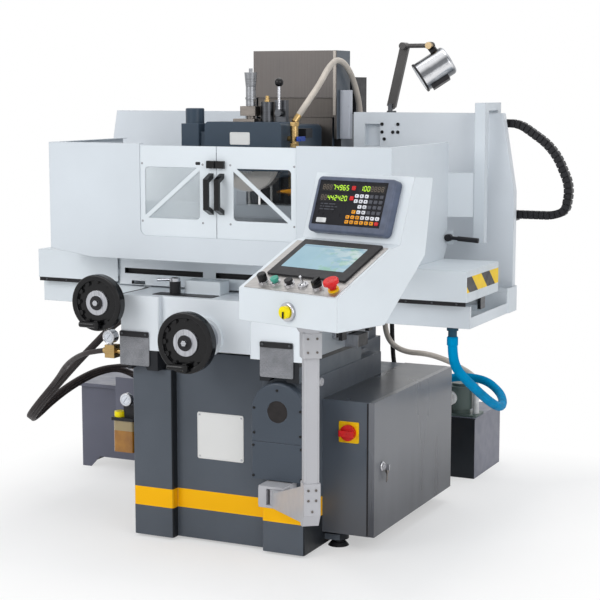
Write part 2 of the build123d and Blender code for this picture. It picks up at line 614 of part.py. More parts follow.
def handwheel(x, z, face, radius, shaft, shaft_end):
    rim = rod_y(radius, x, face, face + 32, z) - rod_y(radius - 18, x, face - 1, face + 33, z)
    rim = fillet(rim.edges().filter_by(GeomType.CIRCLE), 5)
    web = rod_y(radius - 16, x, face + 12, face + 22, z)
    for k in range(12):
        turn = radians(30 * k)
        web += rod_y(8, x + (radius - 20) * cos(turn), face + 5, face + 22, z + (radius - 20) * sin(turn))
    hub = rod_y(0.44 * radius, x, face + 6, face + 14, z) + rod_y(0.26 * radius, x, face + 3, face + 48, z)
    front = Plane(origin=(x, face - 5, z), x_dir=(1, 0, 0), z_dir=(0, 1, 0))
    nut = extrude(front * RegularPolygon(9, 6), amount=9)
    wheel = rim + web + hub + nut + rod_y(shaft, x, face + 40, shaft_end, z)
    pivot_z = z - radius + GRIP_IN
    for low in (pivot_z + 9 + GAP, pivot_z - 13 - GAP):
        wheel += block(x + GRIP_X - 6, x + GRIP_X + 6, face - 15, face + 14, low, low + 4)
    return wheel + rod_z(3, x + GRIP_X, face - 9 - GAP, pivot_z - 13, pivot_z + 13)


def cross_handwheel():
    return handwheel(CROSS_X, CROSS_Z, CROSS_FACE, CROSS_RADIUS, 14, SADDLE_BACK - 60)


def table_handwheel():
    return handwheel(TABLE_WHEEL_X, TABLE_WHEEL_Z, TABLE_WHEEL_FACE, TABLE_WHEEL_RADIUS, 12, 235)


def folding_grip(x, z, face, radius):
    y = face - 9 - GAP
    low = z - radius + GRIP_IN
    grip = rod_x(9, x - 52, x + 4, y, low)
    grip = fillet(grip.edges().filter_by(GeomType.CIRCLE), 4)
    grip += rod_z(9, x + GRIP_X, y, low - 9, low + 9)
    return grip - rod_z(3 + GAP, x + GRIP_X, y, low - 10, low + 10)


# Table, guard and doors

def table_casting():
    low = BED_TOP + GAP
    slab = block(-BED_HALF, BED_HALF, TABLE_FRONT, TABLE_BACK, low, TABLE_TOP)
    slab += block(-BED_HALF, BED_HALF, TABLE_FRONT, TABLE_FRONT + 12, SADDLE_TOP + 5, low + 1)
    for y in (222.0, 338.0):
        slab -= bed_rail(y, GAP)
    for x0, x1 in ((-410, -129), (-84, 300)):
        slab -= block(x0, x1, TABLE_FRONT - 1, TABLE_FRONT + 16, TABLE_TOP - 65, TABLE_TOP - 48)
    slab -= block(-385, -336, TABLE_FRONT - 1, TABLE_FRONT + 13, SADDLE_TOP + 7, SADDLE_TOP + 18)
    reach = TABLE_HALF - 8
    piston = rod_x(11, -reach, reach, 290, SADDLE_TOP - 5)
    for side in (-1, 1):
        x = side * (reach - 5)
        piston += block(x - 5, x + 5, 270, 310, SADDLE_TOP - 25, BOX_FLOOR)
        piston += block(x - 5, x + 5, 270, 310, BOX_FLOOR - 1, BOX_TOP - SHEET)
    return group(slab, piston)


def end_box():
    body = block(BED_HALF, TABLE_HALF, TABLE_FRONT - 10, TABLE_BACK, BOX_FLOOR, BOX_TOP)
    body = fillet(body.edges().filter_by(Axis.Z).sort_by(Axis.X)[2:], 3)
    return body - block(BED_HALF - 1, TABLE_HALF - SHEET, TABLE_FRONT - 10 + SHEET, TABLE_BACK - SHEET,
                        BOX_FLOOR - 1, BOX_TOP - SHEET)


def table_end_boxes():
    strip = block(BED_HALF + 90, TABLE_HALF - 4, TABLE_FRONT - 9, TABLE_FRONT - 6, BOX_FLOOR - 12, BOX_FLOOR)
    right = end_box()
    return group(right, twin(right), strip, twin(strip))


def mag_chuck():
    body = block(-250, 250, 150, 400, TABLE_TOP, TABLE_TOP + CHUCK_HEIGHT)
    body = chamfer(body.edges().filter_by(Axis.Z), 4)
    for y in (165.0, 385.0):
        for side in (-1, 1):
            body += block(side * 272 - 24, side * 272 + 24, y - 15, y + 15, TABLE_TOP, TABLE_TOP + 18)
    return body


def guard_front():
    y0, y1 = GUARD_FRONT, GUARD_FRONT + SHEET
    outline = [(GUARD_LEFT, TABLE_TOP + 22), (GUARD_LEFT + 150, TABLE_TOP), (GUARD_RIGHT - 120, TABLE_TOP),
               (GUARD_RIGHT, TABLE_TOP + 20), (GUARD_RIGHT, GUARD_TOP), (GUARD_LEFT, GUARD_TOP)]
    notch = block(-DOOR_HALF, DOOR_HALF, y0 - 1, y1 + 1, DOOR_SILL, GUARD_TOP + 40)
    notch = fillet(notch.edges().filter_by(Axis.Y).sort_by(Axis.Z)[:2], 22)
    panel = slab_y(outline, y0, y1) - notch
    for x0, x1 in ((GUARD_LEFT, -DOOR_HALF), (DOOR_HALF, GUARD_RIGHT)):
        panel += block(x0, x1, y1 - 1, y1 + 20, GUARD_TOP - SHEET, GUARD_TOP)
    return panel


def guard_wall(x0, back):
    y0 = GUARD_FRONT + SHEET - 1
    outline = [(y0, TABLE_TOP + 20), (TABLE_FRONT - 10, TABLE_TOP + 20), (TABLE_FRONT - 10, BOX_TOP),
               (TABLE_BACK, BOX_TOP), (back, TABLE_TOP + 40), (back, GUARD_TOP), (y0, GUARD_TOP)]
    return slab_x(outline, x0, x0 + SHEET)


def guard_shell():
    shell = guard_front()
    shell += guard_wall(GUARD_LEFT, TABLE_BACK + 1) + guard_wall(GUARD_RIGHT - SHEET, 440)
    shell += block(GUARD_LEFT, GUARD_LEFT + 18, 0, TABLE_BACK, GUARD_TOP - SHEET, GUARD_TOP)
    shell += block(GUARD_RIGHT - 18, GUARD_RIGHT, 0, 440, GUARD_TOP - SHEET, GUARD_TOP)
    shell += block(GUARD_LEFT, GUARD_RIGHT, TABLE_BACK - SHEET, TABLE_BACK, TABLE_TOP, SPINDLE_Z - 158)
    shell += block(GUARD_LEFT + 150, GUARD_RIGHT - 120, GUARD_FRONT + 1, 148, TABLE_TOP, TABLE_TOP + SHEET)
    rail_low = DOOR_SILL - 14
    shell += block(GUARD_LEFT, GUARD_RIGHT, GUARD_FRONT + 1, GUARD_FRONT + 16, rail_low, DOOR_SILL - 2)
    shell += block(GUARD_LEFT, GUARD_RIGHT, GUARD_FRONT + 13, GUARD_FRONT + 16, rail_low, DOOR_SILL + 10)
    shell += block(GUARD_LEFT, GUARD_RIGHT, GUARD_FRONT + 13, GUARD_FRONT + 18, GUARD_TOP - 24, GUARD_TOP - 8)
    ledge = [(GUARD_RIGHT - SHEET, 439), (GUARD_RIGHT, 439), (POST_LEFT + 1, 473),
             (POST_LEFT + 1, 498), (GUARD_RIGHT - SHEET, 464)]
    rail = slab_z(ledge, TABLE_TOP + 123, TABLE_TOP + 258)
    post = block(POST_LEFT, POST_RIGHT, 470, 500, TABLE_TOP + 43, REAR_PANEL_TOP + 32)
    post += block(POST_LEFT, POST_RIGHT, 470, REAR_PANEL_Y + 70, REAR_PANEL_TOP + 8, REAR_PANEL_TOP + 32)
    post += block(POST_LEFT, POST_RIGHT, REAR_PANEL_Y + 42, REAR_PANEL_Y + 70,
                  REAR_PANEL_TOP - 65, REAR_PANEL_TOP + 32)
    ear = block(GUARD_RIGHT, GUARD_RIGHT + 24, CLAMP_Y + 8, CLAMP_Y + 12, CLAMP_Z - 20, CLAMP_Z + 20)
    return group(shell, rail + post, ear)


def door(side):
    y0 = GUARD_FRONT + SHEET + GAP
    inner, outer = side * 1.0, side * (DOOR_HALF + 22)
    x0, x1 = min(inner, outer), max(inner, outer)
    sheet = block(x0, x1, y0, y0 + 2, DOOR_SILL - 2 + GAP, GUARD_TOP - 5)
    w0, w1 = sorted((side * 56.0, side * (DOOR_HALF - 17)))
    hole = soft_block(w0, w1, y0 - 1, y0 + 3, WINDOW_LOW, WINDOW_HIGH, 12, Axis.Y)
    near, far = side * 56.0, side * (DOOR_HALF - 17)
    brace = beam((near, y0 + 1, WINDOW_HIGH), (far, y0 + 1, WINDOW_LOW), 2, 13)
    sheet = sheet - hole + (brace & hole)
    pane = block(w0 - 10, w1 + 10, y0 + 2, y0 + 5, WINDOW_LOW - 10, WINDOW_HIGH + 10)
    hx = side * 18.0
    low = (DOOR_SILL + GUARD_TOP - HANDLE_LENGTH) / 2 - 7
    high = low + HANDLE_LENGTH
    bow = [(y0, low), (y0 - 36, low + 16), (y0 - 36, high - 16), (y0, high), (y0, high - 14),
           (y0 - 26, high - 26), (y0 - 26, low + 26), (y0, low + 14)]
    handle = slab_x(bow, hx - 8, hx + 8)
    k0, k1 = sorted((side * 2.5, side * 28.0))
    switch = block(k0, k1, y0 - 12, y0, high + 15, high + 37)
    return group(sheet, pane, handle, switch)


def clamp_lever():
    y0, y1 = CLAMP_Y - 10, CLAMP_Y + 8 - GAP
    hub = rod_y(11, CLAMP_X, y0, y1, CLAMP_Z)
    arm = bar((CLAMP_X, CLAMP_Y - 2, CLAMP_Z), (CLAMP_X + 70, CLAMP_Y - 2, CLAMP_Z - 4), 5.5)
    grip = bar((CLAMP_X + 30, CLAMP_Y - 2, CLAMP_Z - 1.7), (CLAMP_X + 96, CLAMP_Y - 2, CLAMP_Z - 5.5), 7.5)
    return hub + arm + grip


# Wheelhead

def wheelhead():
    low, top = HOUSING_FLOOR, HOUSING_TOP
    housing = soft_block(-90, 90, GUARD_HOOD_BACK, COLUMN_FRONT - 29, low, top, 18, Axis.Y)
    carriage = block(-128, 128, COLUMN_FRONT - 30, COLUMN_FRONT - 15 - GAP, low, CARRIAGE_TOP)
    tongue = block(GAP - 70, 70 - GAP, COLUMN_FRONT - 16, COLUMN_FRONT - GAP, low, CARRIAGE_TOP)
    nut_arm = block(-18, 18, COLUMN_FRONT - 1, LIFT_Y + 32, SPINDLE_Z - 55, SPINDLE_Z - 10)
    casting = housing + carriage + tongue + nut_arm
    casting -= rod_z(16.4, 0, LIFT_Y, SPINDLE_Z - 100, SPINDLE_Z + 100)
    casting -= rod_y(25.4, 0, GUARD_HOOD_BACK - 1, COLUMN_FRONT - 54, SPINDLE_Z)
    plate = block(-136, 136, COLUMN_FRONT - 34, COLUMN_FRONT - 32, CARRIAGE_TOP, COLUMN_TOP - 40)
    plate += block(-128, 128, COLUMN_FRONT - 34, COLUMN_FRONT - 16, CARRIAGE_TOP, CARRIAGE_TOP + SHEET)
    junction = block(90, 150, 282, 330, SPINDLE_Z + 62, SPINDLE_Z + 90)
    return group(casting, plate, junction)


def wheel_guard():
    hood = soft_block(-GUARD_HOOD_HALF, GUARD_HOOD_HALF, GUARD_HOOD_FRONT, GUARD_HOOD_BACK,
                      GUARD_HOOD_LOW - 40, GUARD_HOOD_TOP, 14, Axis.Y)
    hood -= block(-200, 200, 0, 400, GUARD_HOOD_LOW - 60, GUARD_HOOD_LOW)
    hood -= block(12 - GUARD_HOOD_HALF, GUARD_HOOD_HALF - 12, GUARD_HOOD_FRONT + 8, GUARD_HOOD_BACK - 8,
                  GUARD_HOOD_LOW - 1, GUARD_HOOD_TOP - 11)
    hood -= rod_y(46, 0, WHEEL_Y, GUARD_HOOD_BACK + 1, SPINDLE_Z)
    x = -GUARD_HOOD_HALF - 58
    duct = soft_block(x - 34, x + 30, WHEEL_Y - 30, WHEEL_Y + 30, SPINDLE_Z - 20, SPINDLE_Z + 105, 5)
    duct += rod_z(29, x, WHEEL_Y, SPINDLE_Z + 104, SPINDLE_Z + 152)
    duct = fillet(duct.edges().filter_by(GeomType.CIRCLE).sort_by(Axis.Z)[-1:], 4)
    neck = block(x + 20, 1 - GUARD_HOOD_HALF, WHEEL_Y - 20, WHEEL_Y + 20, SPINDLE_Z - 10, SPINDLE_Z + 80)
    return hood + duct + neck


def dresser():
    top = GUARD_HOOD_TOP
    foot = block(DRESSER_X - 50, DRESSER_X + 22, WHEEL_Y - 22, WHEEL_Y + 22, top, top + 9)
    barrel = rod_z(13, DRESSER_X, WHEEL_Y, top + 8, top + 20)
    clamp = soft_block(DRESSER_X - 26, DRESSER_X + 26, WHEEL_Y - 24, WHEEL_Y + 24, top + 18, top + 47, 4)
    clamp -= rod_z(8.4, DRESSER_X, WHEEL_Y, top + 24, top + 60)
    drum = rod_z(20, DRESSER_X + 49, WHEEL_Y + 14, top, top + 60)
    nipple = rod_z(9, DRESSER_X + 49, WHEEL_Y + 14, top + 60, top + 66)
    nipple += rod_z(6, DRESSER_X + 49, WHEEL_Y + 14, top + 65, top + 78)
    side = block(LEVER_X - 22, LEVER_X + 16, WHEEL_Y + 20, GUARD_HOOD_BACK, top, top + 65)
    return group(foot + barrel + clamp, drum, nipple, side)


def dresser_thimble():
    low = GUARD_HOOD_TOP + 47 + GAP
    body = rod_z(8, DRESSER_X, WHEEL_Y, low - 18, low + 2) + rod_z(15, DRESSER_X, WHEEL_Y, low, low + 60)
    body += rod_z(17, DRESSER_X, WHEEL_Y, low + 20, low + 26)
    body += Pos(DRESSER_X, WHEEL_Y, low + 80) * Cone(15.5, 19.5, 42)
    return body + rod_z(5.5, DRESSER_X, WHEEL_Y, low + 100, low + 113)


def dresser_lever():
    y1 = WHEEL_Y + 20 - GAP
    hub = rod_y(11, LEVER_X, y1 - 22, y1, LEVER_Z)
    stick = bar((LEVER_X, y1 - 13, LEVER_Z), (LEVER_X, y1 - 13, LEVER_Z + 86), 4.5)
    return hub + stick + Pos(LEVER_X, y1 - 13, LEVER_Z + 92) * Sphere(13.5)


def coolant_valve():
    y = WHEEL_Y + 5
    body = rod_z(12, VALVE_X, y, VALVE_Z - 22, VALVE_Z + 44)
    body += extrude(Pos(VALVE_X, y, VALVE_Z + 38) * RegularPolygon(15, 6), amount=12)
    body += extrude(Pos(VALVE_X, y, VALVE_Z - 26) * RegularPolygon(15, 6), amount=12)
    body += stub(COOLANT_TOP_ROUTE, 10, 0.4 * VALVE_LEAN.length)
    body += rod_x(8, GUARD_HOOD_HALF, VALVE_X, y, VALVE_Z)
    pipe = rod_z(7, VALVE_X, y, NOZZLE_Z + 10, VALVE_Z - 20)
    nozzle = rod_z(10, VALVE_X, y, NOZZLE_Z - 10, NOZZLE_Z + 10)
    low = (Align.CENTER, Align.CENTER, Align.MIN)
    tip = Plane(origin=(VALVE_X, y, NOZZLE_Z), x_dir=(0, 1, 0), z_dir=(-1, 0, 0)) * Cone(9, 3, 46, align=low)
    return group(body + pipe, nozzle + tip)


def valve_handle():
    y = WHEEL_Y + 5
    x0 = VALVE_X + 12 + GAP
    stem = rod_x(6, x0, x0 + 8, y, VALVE_Z)
    return stem + soft_block(x0 + 6, x0 + 13, y - 24, y + 24, VALVE_Z - 7, VALVE_Z + 7, 3, Axis.X)


def spindle():
    half = WHEEL_WIDTH / 2
    body = rod_y(25, 0, WHEEL_Y + half + 8, COLUMN_FRONT - 60, SPINDLE_Z)
    body += rod_y(43, 0, WHEEL_Y + half, WHEEL_Y + half + 9, SPINDLE_Z)
    body += rod_y(38, 0, WHEEL_Y - half, WHEEL_Y + half, SPINDLE_Z)
    body += rod_y(43, 0, WHEEL_Y - half - 9, WHEEL_Y - half, SPINDLE_Z)
    return body + rod_y(20, 0, WHEEL_Y - half - 20, WHEEL_Y - half - 8, SPINDLE_Z)


def grinding_wheel():
    half = WHEEL_WIDTH / 2
    wheel = rod_y(WHEEL_RADIUS, 0, WHEEL_Y - half, WHEEL_Y + half, SPINDLE_Z)
    return wheel - rod_y(38, 0, WHEEL_Y - half - 1, WHEEL_Y + half + 1, SPINDLE_Z)


# Work lamp

def lamp_lower_arm():
    x, y, z = LAMP_FOOT
    arm = rod_y(10, x, y - 8 + GAP, y + 10, z) + beam(LAMP_FOOT, LAMP_ELBOW, 15, 28)
    ex, ey, ez = LAMP_ELBOW
    return arm + rod_y(11, ex, ey - 10, ey + 10, ez)


def lamp_upper_arm():
    x, y, z = LAMP_ELBOW
    y0 = y - 10 - GAP
    arm = rod_y(11, x, y0 - 16, y0, z) + bar((x, y0 - 8, z), (LAMP_WRIST[0], y0 - 8, LAMP_WRIST[2]), 7)
    return arm + rod_y(11, LAMP_WRIST[0], y0 - 16, y0, LAMP_WRIST[2])


def lamp_head():
    aim = Vector(*LAMP_AIM).normalized()
    middle = Vector(*LAMP_CENTRE)
    rear = middle - aim * 55
    plane = Plane(origin=rear, z_dir=aim)
    low = (Align.CENTER, Align.CENTER, Align.MIN)
    shade = plane * Cylinder(47, 108, align=low)
    shade = fillet(shade.edges().filter_by(GeomType.CIRCLE).sort_by(Axis.X)[-1:], 12)
    hollow = Cylinder(44, 110, align=low)
    hollow = fillet(hollow.edges().filter_by(GeomType.CIRCLE).sort_by(Axis.Z)[:1], 9)
    shade -= plane * Pos(0, 0, 4) * hollow
    rim = plane * Pos(0, 0, 104) * (Cylinder(49, 6, align=low) - Cylinder(41, 6, align=low))
    lens = plane * Pos(0, 0, 99) * Cylinder(44, 5, align=low)
    x, y, z = LAMP_WRIST
    y0 = y - 10
    knuckle = rod_y(12, x, y0, y0 + 14, z) + beam((x, y0 + 7, z - 4), tuple(middle - aim * 30), 12, 22)
    below = middle + Vector(14, -12, -44)
    knob = beam(tuple(below - aim * 40), tuple(below + aim * 20), 30, 22)
    inside = plane * Pos(0, 0, 4) * Cylinder(44, 95, align=low)
    return group(shade + rim + (knuckle + knob - inside), lens)


# Suspension arm and console

def console_place():
    return Pos(POST_X, POST_Y, 0) * Rot(0, 0, -CONSOLE_TURN)


def arm_bracket():
    x0, x1 = ARM_X - 50, ARM_X + 30
    body = block(x0, x1, ARM_Y + 34, -COLUMN_PROUD, ARM_ROOT_Z - 38, ARM_ROOT_Z + 26)
    for low in (ARM_ROOT_Z - 38, ARM_ROOT_Z + 18):
        body += soft_block(x0, x1, ARM_Y - 10, -COLUMN_PROUD, low, low + 8, 3)
    body += block(x0, ARM_X - 24, ARM_Y - 10, ARM_Y + 35, ARM_ROOT_Z - 31, ARM_ROOT_Z + 19)
    return body + rod_z(9, ARM_X, ARM_Y + 10, ARM_ROOT_Z - 31, ARM_ROOT_Z + 19)


def arm_place():
    turn = degrees(atan2(POST_X - ARM_X, ARM_Y + 10 - POST_Y))
    return Pos(POST_X, POST_Y, 0) * Rot(0, 0, turn)


def pendant_arm():
    root = rod_z(20, ARM_X, ARM_Y + 10, ARM_ROOT_Z - 30 + GAP, ARM_ROOT_Z + 18 - GAP)
    start = Vector(ARM_X, ARM_Y + 10, ARM_ROOT_Z - 6)
    end = Vector(POST_X, POST_Y, (ELBOW_LOW + ELBOW_HIGH) / 2)
    flat = Vector(end.X - start.X, end.Y - start.Y, 0).normalized()
    side = Vector(-flat.Y, flat.X, 0)
    near = Plane(origin=start + flat * 8, x_dir=side, z_dir=flat) * Rectangle(34, 46)
    mid = Plane(origin=start + flat * 50, x_dir=side, z_dir=flat) * Rectangle(36, 46)
    far = Plane(origin=end, x_dir=side, z_dir=flat) * Rectangle(2 * POST_HALF - 2, 100)
    arm = loft([near, mid, far], ruled=True)
    root = root + arm - rod_z(9.3, ARM_X, ARM_Y + 10, 0, ARM_ROOT_Z + 100)
    half = POST_HALF + 2
    elbow = block(-half, half, -half, half, ELBOW_LOW, ELBOW_HIGH)
    toe = elbow.edges().filter_by(Axis.X).sort_by(Axis.Z)[:2].sort_by(Axis.Y)[:1]
    elbow = chamfer(toe, 34, 26, reference=elbow.faces().sort_by(Axis.Y)[0])
    post = block(-POST_HALF, POST_HALF, -POST_HALF, POST_HALF, ELBOW_HIGH, CONSOLE_FLOOR - 90)
    post = chamfer(post.edges().filter_by(Axis.Z), 6)
    half = POST_HALF + 5
    coupling = soft_block(-half, half, -half, half, CONSOLE_FLOOR - 90, CONSOLE_FLOOR - 24, 5)
    flange = Pos(0, 0, CONSOLE_FLOOR - 16) * Cone(POST_HALF + 10, POST_HALF + 20, 16)
    flange += rod_z(POST_HALF + 20, 0, 0, CONSOLE_FLOOR - 8, CONSOLE_FLOOR - GAP)
    upright = arm_place() * group(post, coupling, flange)
    return group(root + arm_place() * elbow, *upright.solids())


def console_outline():
    y0 = CONSOLE_FRONT
    rise, steep = radians(PANEL_RISE), radians(READOUT_RISE)
    y1 = y0 + PANEL_LENGTH * cos(rise)
    z1 = CONSOLE_FLOOR + LIP_HEIGHT + PANEL_LENGTH * sin(rise)
    y2 = y1 + 34
    z2 = z1 + 6
    y3 = y2 + READOUT_LENGTH * cos(steep)
    z3 = z2 + READOUT_LENGTH * sin(steep)
    return [(y0, CONSOLE_FLOOR), (y0, CONSOLE_FLOOR + LIP_HEIGHT), (y1, z1), (y2, z2), (y3, z3),
            (y3 + 76, z3 - 5), (y3 + 46, CONSOLE_FLOOR + 163), (y0 + 183, CONSOLE_FLOOR)]


def panel_plane():
    origin = (-CONSOLE_WIDTH / 2, CONSOLE_FRONT, CONSOLE_FLOOR + LIP_HEIGHT)
    rise = radians(PANEL_RISE)
    return Plane(origin=origin, x_dir=(1, 0, 0), z_dir=(0, -sin(rise), cos(rise)))


def readout_plane():
    rise, steep = radians(PANEL_RISE), radians(READOUT_RISE)
    y = CONSOLE_FRONT + PANEL_LENGTH * cos(rise) + 34
    z = CONSOLE_FLOOR + LIP_HEIGHT + PANEL_LENGTH * sin(rise) + 6
    return Plane(origin=(-CONSOLE_WIDTH / 2, y, z), x_dir=(1, 0, 0), z_dir=(0, -sin(steep), cos(steep)))


# Place of each control on the operator plate, from the plate's lower left corner
CONTROLS = {
    "dimmer_knob": (61.0, 33.0),
    "start_button": (102.0, 34.0),
    "stop_button": (151.0, 33.0),
    "toggle_lever": (195.0, 35.0),
    "selector_knob": (243.0, 35.0),
    "estop_button": (299.0, 30.0),
}
PLATE_THICK = 2.0
BEZEL_HIGH = 5.0
BORE = 8.0
BALL_DEEP = 4.0


def console_housing():
    half = CONSOLE_WIDTH / 2
    outline = console_outline()
    solid = slab_x(outline, -half, half)
    plane = Plane(origin=(SHEET - half, 0, 0), x_dir=(0, 1, 0), z_dir=(1, 0, 0))
    inner = offset(plane * Polygon(*outline, align=None), amount=-SHEET, kind=Kind.INTERSECTION)
    shell = solid - extrude(inner, amount=CONSOLE_WIDTH - 2 * SHEET, dir=(1, 0, 0))
    low = (Align.MIN, Align.MIN, Align.MIN)
    plate = panel_plane() * Pos(15, 4, 0) * Box(CONSOLE_WIDTH - 24, PANEL_LENGTH - 6, PLATE_THICK, align=low)
    rings = []
    for x, y in CONTROLS.values():
        rings.append(panel_plane() * Pos(x, y, PLATE_THICK + BEZEL_HIGH / 2) * Cylinder(14, BEZEL_HIGH))
    bores = [panel_plane() * Pos(x, y, 0) * Cylinder(BORE + GAP, 60) for x, y in CONTROLS.values()]
    for bore in bores:
        shell -= bore
        plate -= bore
    rings = [ring - bore for ring, bore in zip(rings, bores)]
    knob_bore = rod_y(6 + GAP, FEED_X, CONSOLE_FRONT - 20, CONSOLE_FRONT + 20, FEED_Z)
    collar = rod_y(24, FEED_X, CONSOLE_FRONT - COLLAR_DEEP, CONSOLE_FRONT, FEED_Z)
    collar = fillet(collar.edges().filter_by(GeomType.CIRCLE).sort_by(Axis.Y)[:1], 4) - knob_bore
    return console_place() * group(shell - knob_bore, plate, collar, *rings)


FEED_X = -CONSOLE_WIDTH / 2 + 172.0
FEED_Z = CONSOLE_FLOOR + 37.0
COLLAR_DEEP = 10.0


def touch_panel():
    low = (Align.MIN, Align.MIN, Align.MIN)
    bezel = panel_plane() * Pos(46, 66, PLATE_THICK) * Box(262, 166, 6, align=low)
    bezel = fillet(bezel.edges().group_by(SortBy.LENGTH)[0], 2)
    return console_place() * bezel


def dro_unit():
    low = (Align.MIN, Align.MIN, Align.MIN)
    case = Box(266, 150, 26, align=low)
    case = fillet(case.edges().filter_by(Axis.Z), 14)
    case = fillet(case.faces().sort_by(Axis.Z)[-1].edges(), 7)
    case -= Pos(11, 19, 24) * Box(231, 120, 4, align=low)
    return console_place() * (readout_plane() * Pos(32, 14, 0) * case)


def control(name):
    x, y = CONTROLS[name]
    return panel_plane() * Pos(x, y, PLATE_THICK + BEZEL_HIGH)


def stem():
    return Pos(0, 0, -7) * Cylinder(BORE, 28)


def push_button(name):
    head = Pos(0, 0, 4 + 4) * Cylinder(11, 6)
    return console_place() * control(name) * (stem() + head)


def estop_button():
    head = Pos(0, 0, 13) * Cylinder(12, 12) + Pos(0, 0, 21) * Cylinder(20, 10)
    head = fillet(head.edges().filter_by(GeomType.CIRCLE).sort_by(Axis.Z)[-1:], 4)
    return console_place() * control("estop_button") * (stem() + head)


def dimmer_knob():
    head = Pos(0, 0, 10 + GAP) * Cylinder(12, 20)
    head = fillet(head.edges().filter_by(GeomType.CIRCLE).sort_by(Axis.Z)[-1:], 3)
    return console_place() * control("dimmer_knob") * (stem() + head)


def selector_knob():
    head = Pos(0, 0, 4 + GAP) * Cylinder(13, 8) + Pos(0, 0, 13) * Box(9, 26, 14)
    return console_place() * control("selector_knob") * (stem() + head)


def toggle_lever():
    low = (Align.CENTER, Align.CENTER, Align.MIN)
    stick = Cone(4, 2.5, 24, align=low) + Pos(0, 0, 25) * Sphere(4)
    return console_place() * control("toggle_lever") * Pos(0, 0, -BALL_DEEP) * (Sphere(BORE) + stick)


def feed_knob():
    y1 = CONSOLE_FRONT - COLLAR_DEEP - GAP
    knob = rod_y(16, FEED_X, y1 - 9, y1, FEED_Z) + rod_y(6, FEED_X, y1 - 1, CONSOLE_FRONT + 12, FEED_Z)
    knob += block(FEED_X - 2, FEED_X + 2, y1 - 12, y1 - 8, FEED_Z - 15, FEED_Z + 2)
    return console_place() * knob


# Cable chain and hoses

CHAIN_LOW = REAR_PANEL_TOP - 313.0
CHAIN_ROUTE = [
    (POST_RIGHT + 2.6, REAR_PANEL_TOP - 32),
    (POST_RIGHT + 66, REAR_PANEL_TOP - 32),
    (TABLE_HALF + 109, REAR_PANEL_TOP - 108),
    (TABLE_HALF + 160, REAR_PANEL_TOP - 222),
    (TABLE_HALF + 149, REAR_PANEL_TOP - 298),
    (TABLE_HALF + 107, CHAIN_LOW),
    (TABLE_HALF - 19, CHAIN_LOW),
]
LINK_PITCH = 17.0
LINK_HIGH = 25.0


def route_radii(points):
    radii = []
    for a, b, c in zip(points, points[1:], points[2:]):
        before = Vector(*b) - Vector(*a)
        after = Vector(*c) - Vector(*b)
        half = radians(before.get_angle(after)) / 2
        radii.append(0.45 * min(before.length, after.length) / tan(half))
    return radii


def cable_chain():
    points = [(x, CHAIN_Y, z) for x, z in CHAIN_ROUTE]
    route = FilletPolyline(*points, radius=route_radii(points))
    count = round(route.length / LINK_PITCH)
    chain = None
    for k in range(count):
        share = (k + 0.5) / count
        spot = route.position_at(share)
        way = route.tangent_at(share)
        turn = degrees(atan2(way.Z, way.X))
        seat = Pos(spot.X, spot.Y, spot.Z) * Rot(0, -turn, 0)
        link = seat * (Box(LINK_PITCH - 3.5, 26, LINK_HIGH) + Box(LINK_PITCH + 4, 19, LINK_HIGH - 5))
        chain = link if chain is None else chain + link
    return chain


def hose(name, points, diameter):
    radii = route_radii(points)
    route = FilletPolyline(*points, radius=radii)
    start = Plane(origin=points[0], z_dir=Vector(*points[1]) - Vector(*points[0]))
    tube = sweep(start * Circle(diameter / 2), path=route)
    full = pi * diameter ** 2 / 4 * route.length
    print(name, "length", round(route.length), "least radius", round(min(radii)),
          "volume share", round(tube.volume / full, 3))
    return tube


VALVE_LEAN = Vector(22, 32, 50)
VALVE_ELBOW = Vector(VALVE_X, WHEEL_Y + 5, VALVE_Z + 50)
COOLANT_TOP_ROUTE = [
    tuple(VALVE_ELBOW + VALVE_LEAN * 0.4),
    tuple(VALVE_ELBOW + VALVE_LEAN * 1.24),
    (VALVE_X + 36, 306, VALVE_Z + 164),
    (VALVE_X + 25, 398, VALVE_Z + 214),
    (VALVE_X + 18, 482, VALVE_Z + 236),
    (VALVE_X + 17, 566, VALVE_Z + 214),
    (VALVE_X + 17, 628, VALVE_Z + 155),
    (RISER_X, RISER_Y, RISER_TOP + 70),
    (RISER_X, RISER_Y, RISER_TOP),
]
COOLANT_LOW_ROUTE = [
    (RISER_X, RISER_BACK, RISER_LOW),
    (RISER_X, RISER_BACK, RISER_LOW - 45),
    (RISER_X + 22, RISER_BACK + 7, 512),
    (RISER_X + 76, RISER_BACK + 20, 482),
    (RISER_X + 144, RISER_BACK + 38, 470),
    (RISER_X + 200, RISER_BACK + 78, 455),
    (PUMP_X + 45, PUMP_Y - 112, 428),
    (PUMP_X + 61, PUMP_Y - 32, 398),
    (PUMP_X + 61, PUMP_Y - 2, 350),
    (PUMP_X + 61, PUMP_Y - 2, COOLANT_TOP + 88),
]
DRAIN_ROUTE = [
    (DRAIN_X, DRAIN_Y, TRAY_FLOOR - 30),
    (DRAIN_X, DRAIN_Y, TRAY_FLOOR - 78),
    (DRAIN_X + 3, 206, 564),
    (DRAIN_X + 14, 268, 522),
    (DRAIN_X + 15, 370, 478),
    (DRAIN_X + 12, 500, 426),
    (DRAIN_X + 2, 630, 384),
    (DRAIN_X - 20, 752, 362),
    (DRAIN_X - 54, 862, 358),
    (DRAIN_X - 102, 950, 370),
    (498, 1012, 384),
    (423, 1048, 382),
    (COOLANT_LEFT + 205, 1072, 362),
    (COOLANT_LEFT + 152, 1104, 338),
    (COOLANT_LEFT + 126, 1136, 296),
    (COOLANT_LEFT + 118, 1148, COOLANT_TOP + 35),
]
CONDUIT_ROUTE = [
    (178, 928, 745),
    (178, 928, 672),
    (181, 925, 582),
    (184, 924, 494),
    (192, 921, 418),
    (218, 910, 352),
    (260, 896, 312),
    (302, 866, 297),
    (BASE_HALF + 34, CABINET_BACK + 47, 294),
    (BASE_HALF + 34, CABINET_BACK, 294),
]
